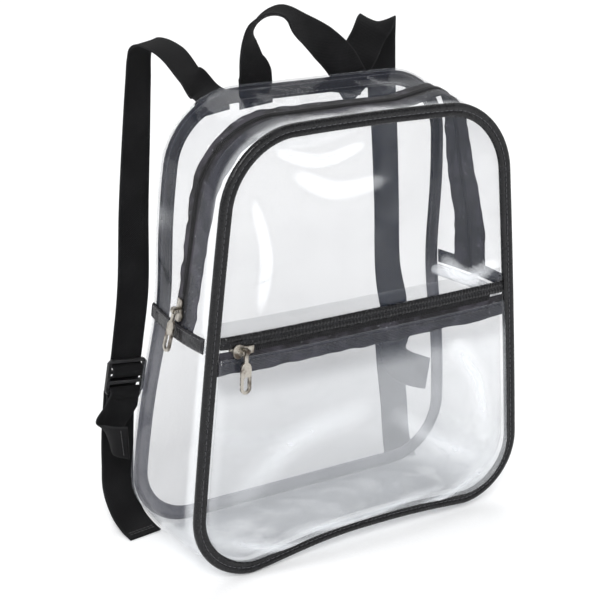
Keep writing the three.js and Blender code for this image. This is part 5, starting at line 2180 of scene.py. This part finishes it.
    def in_lock(self, row: Row, places: Sequence[tuple[float, float]]) -> list[Station]:
        """Stations given in a lock's frame."""
        centre, across, up, back = self.lock_frame(row)
        return [Station(centre + back * b + up * u, across) for b, u in places]

    def bar_height(self, k: int) -> float:
        """Returns the height of a lock's bar above its middle."""
        tall = self.lock_bars * self.lock_bar + (self.lock_bars - 1) * self.lock_slot
        return tall / 2 - self.lock_bar / 2 - k * (self.lock_bar + self.lock_slot)

    def threading(self) -> list[tuple[float, float]]:
        """Returns the webbing's way through a lock, as millimetres back and up."""
        beside = self.lock_thickness / 2 + self.form.gap + self.thickness / 2
        cross = self.lock_bar * 0.3
        bar = self.bar_height
        slots = [bar(k) - self.lock_bar / 2 - self.lock_slot / 2 for k in range(2)]
        pitch = self.lock_bar + self.lock_slot
        return [
            (beside, bar(0) + pitch), (beside, bar(0)), (beside, slots[0] + 2 * cross), (0, slots[0]),
            (-beside, slots[0] - 2 * cross), (-beside, slots[1] + 2 * cross), (0, slots[1]),
            (beside, slots[1] - 2 * cross), (beside + 0.3 * self.thickness, bar(2)),
            (2 * beside + self.thickness / 2, bar(3)),
        ]

    def strap_stations(self, plan: StrapPlan) -> list[Station]:
        """A shoulder strap from its sewn end to its free tail.

        Args:
            plan: The strap's plan.

        Returns:
            The fine stations.
        """
        weave = self.in_lock(plan.lock, self.threading())
        upper = self.smooth([*self.sewn_end(plan.sewn), *map(self.station, plan.upper), weave[0]])
        inside = self.smooth(weave, 3)
        tail = self.smooth([weave[-1], *map(self.station, plan.tail)])
        return upper[:-1] + inside[:-1] + tail

    def lower_stations(self, plan: StrapPlan) -> list[Station]:
        """A lower strap from its hem round the last bar to the back seam.

        Args:
            plan: The strap's plan.

        Returns:
            The fine stations.
        """
        gap, half = self.form.gap, self.thickness / 2
        bar = self.bar_height(self.lock_bars - 1)
        over = self.lock_bar / 2 + 2 * gap + half
        round_bar = self.lock_thickness / 2 + gap + half + gap
        beside = (self.thickness + gap) / 2
        edge = self.lock_bar / 2
        fold = self.in_lock(plan.lock, [
            (beside, bar - over - self.lock_slot), (beside, bar - 2 * over), (round_bar, bar - edge),
            (round_bar, bar + edge), (0, bar + over + 2 * gap), (-round_bar, bar + edge), (-round_bar, bar - edge),
            (-beside, bar - 2 * over), (-beside - gap, bar - over - self.lock_slot),
        ])
        run = self.smooth([fold[-1], *map(self.station, plan.lower)])
        return self.smooth(fold, 3)[:-1] + run

    def handle_stations(self) -> list[Station]:
        """Returns the handle from its left sewn end to its right one."""
        form = self.form
        y = form.back_y(form.back_height) + form.sheet + form.gap
        loop = [Station(np.array([side * form.top_width / 2, y + behind * self.strap_reach,
                                  form.back_height + rise * self.handle_rise]), self.direction(turn, lean))
                for side, behind, rise, turn, lean in HANDLE_TABLE]
        left = self.sewn_end(SewnEnd(-0.4, -2, 0.1, 0.3))
        right = self.sewn_end(SewnEnd(0.27, 40, 0.75, 0.5))
        return self.smooth([*left, *loop, *right[::-1]])

    @staticmethod
    def length(stations: Sequence[Station]) -> float:
        """Returns the length along stations, in millimetres."""
        return float(reach_along(np.array([s.place for s in stations]))[-1])

    def build(self, finishes: Finishes) -> list[bpy.types.Object]:
        """Makes the handle, the straps, the locks and their stitches.

        Args:
            finishes: The finishes.

        Returns:
            The pieces.
        """
        cloth, thread = finishes.webbing, finishes.thread
        handle = self.handle_stations()
        total = self.length(handle)
        sewing = Draft()
        first, last, half = self.box_start, self.box_end, self.box_half
        both = (1, -1)

        def hem(at: float) -> list[tuple[float, float]]:
            """Returns a line of stitches straight across the webbing."""
            return [(at, -self.hem_half), (at, self.hem_half)]

        self.sewing(handle, self.box_lines(first, last, half), both, sewing)
        self.sewing(handle, self.box_lines(total - last, total - first, half), both, sewing)
        made = [self.ribbon(handle).build("handle_webbing", cloth, Slot.WEBBING, ["handle"])]
        for plan in (LEFT_STRAP, RIGHT_STRAP):
            strap, lower = self.strap_stations(plan), self.lower_stations(plan)
            end, low_end = self.length(strap), self.length(lower)
            self.sewing(strap, self.box_lines(first, last, half), both, sewing)
            self.sewing(strap, [hem(end - 4), hem(end - 6)], both, sewing)
            self.sewing(lower, [hem(2.2), hem(4.0)], both, sewing)
            self.sewing(lower, [hem(low_end - 4)], both, sewing)
            label = plan.label
            made.append(self.ribbon(strap).build(f"strap_{label}", cloth, Slot.WEBBING, [f"shoulder_strap_{label}"]))
            made.append(self.ribbon(lower).build(f"lower_web_{label}", cloth, Slot.WEBBING, [f"lower_strap_{label}"]))
            made.append(rounded_copy(f"ladder_lock_{label}", f"lock_{label}", finishes.lock, Slot.LOCK,
                                     self.lock_radius))
        made.append(sewing.build("webbing_stitches", thread, Slot.WEBBING))
        return made


# The studio


@dataclass
class Studio:
    """The camera, the paper floor and the soft lights; lengths in metres, angles in degrees."""

    camera_place: tuple[float, float, float] = (-0.584827, -0.825738, 0.528078)
    yaw: float = -33.9721
    pitch: float = 20.0206
    roll: float = 1.8054
    lens: float = 96.467
    floor_half: float = 12.0
    air: Colour = (1.0, 1.0, 1.0, 1.0)
    air_strength: float = 0.5
    key: tuple[Sequence[float], float, float] = ((0.5, 0.75, -0.8), 2.2, 30.0)
    back: tuple[Sequence[float], float, float] = ((-0.35, -0.75, -1.0), 1.0, 45.0)
    aim: tuple[float, float, float] = (0, 0, 0.15)
    strip_power: float = 4.5
    fill_power: float = 2.0
    fill_colour: tuple[float, float, float] = (0.95, 0.98, 1.0)

    def camera(self) -> bpy.types.Object:
        """Places the camera as the photograph's.

        Returns:
            The camera.
        """
        yaw, pitch, roll = (math.radians(v) for v in (self.yaw, self.pitch, self.roll))
        ahead = Vector((-math.sin(yaw) * math.cos(pitch), math.cos(yaw) * math.cos(pitch), -math.sin(pitch)))
        right = ahead.cross(Vector((0, 0, 1))).normalized()
        up = right.cross(ahead)
        side = right * math.cos(roll) + up * math.sin(roll)
        top = up * math.cos(roll) - right * math.sin(roll)
        data = bpy.data.cameras.new("camera")
        data.lens = self.lens
        data.sensor_width = 36.0
        data.clip_end = 50.0
        holder = bpy.data.objects.new("camera", data)
        bpy.context.scene.collection.objects.link(holder)
        matrix = Matrix((side, top, -ahead)).transposed().to_4x4()
        matrix.translation = Vector(self.camera_place)
        holder.matrix_world = matrix
        bpy.context.scene.camera = holder
        return holder

    def light(self, name: str, place: Sequence[float], target: Sequence[float], size: tuple[float, float],
              power: float, colour: tuple[float, float, float] = (1.0, 1.0, 1.0)) -> None:
        """Adds a soft box.

        Args:
            name: Its name.
            place: Where it stands.
            target: Where it points.
            size: Its two sides.
            power: Watts.
            colour: Its colour.
        """
        data = bpy.data.lights.new(name, "AREA")
        data.shape = "RECTANGLE"
        data.size, data.size_y = size
        data.energy = power
        data.color = colour
        holder = bpy.data.objects.new(name, data)
        bpy.context.scene.collection.objects.link(holder)
        holder.location = Vector(place)
        holder.rotation_euler = (Vector(target) - Vector(place)).to_track_quat("-Z", "Y").to_euler()

    def soft_sun(self, name: str, toward: Sequence[float], strength: float, angle: float) -> None:
        """Adds an even light from a wide part of the sky.

        Args:
            name: Its name.
            toward: The direction that it shines in.
            strength: Watts to a square metre.
            angle: The width of the lit part of the sky, in degrees.
        """
        data = bpy.data.lights.new(name, "SUN")
        data.energy = strength
        data.angle = math.radians(angle)
        holder = bpy.data.objects.new(name, data)
        bpy.context.scene.collection.objects.link(holder)
        holder.rotation_euler = Vector(toward).to_track_quat("-Z", "Y").to_euler()

    def floor(self) -> bpy.types.Object:
        """Lays the paper.

        Returns:
            The floor.
        """
        half = self.floor_half
        mesh = bpy.data.meshes.new("paper_floor")
        mesh.from_pydata([(-half, -half, 0), (half, -half, 0), (half, half, 0), (-half, half, 0)], [], [(0, 1, 2, 3)])
        mesh.materials.append(StudioFloor().material())
        piece = bpy.data.objects.new("paper_floor", mesh)
        bpy.context.scene.collection.objects.link(piece)
        piece.location.z = -0.0002
        return piece

    def build(self) -> None:
        """Sets up the studio."""
        self.floor()
        world = bpy.data.worlds.new("studio_air")
        world.use_nodes = True
        background = world.node_tree.nodes["Background"]
        background.inputs["Color"].default_value = self.air
        background.inputs["Strength"].default_value = self.air_strength
        scene = bpy.context.scene
        scene.world = world
        scene.view_settings.view_transform = "Standard"
        self.soft_sun("key_sky", *self.key)
        self.soft_sun("back_sky", *self.back)
        self.light("strip_left", (-1.3, 0.1, 0.8), self.aim, (0.14, 1.1), self.strip_power)
        self.light("soft_fill", (1.5, -0.7, 0.9), self.aim, (0.4, 1.2), self.fill_power, self.fill_colour)


def main() -> None:
    """Builds the bag's pieces in order."""
    logging.basicConfig(level=logging.INFO, format="%(name)s %(message)s")
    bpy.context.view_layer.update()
    form = BagForm()
    studio = Studio()
    studio.camera()
    finishes = Finishes.build()
    parts = (
        ("clear panels", ClearPanels(form)),
        ("gusset", Gusset(form)),
        ("bound edges", BoundEdges(form)),
        ("main zip", MainZip(form)),
        ("pocket zip", PocketZip(form)),
        ("metal parts", MetalParts()),
        ("webbing", Webbing(form)),
    )
    for label, part in parts:
        LOG.info("%s: %d pieces", label, len(part.build(finishes)))
    studio.build()


if __name__ == "__main__":
    main()
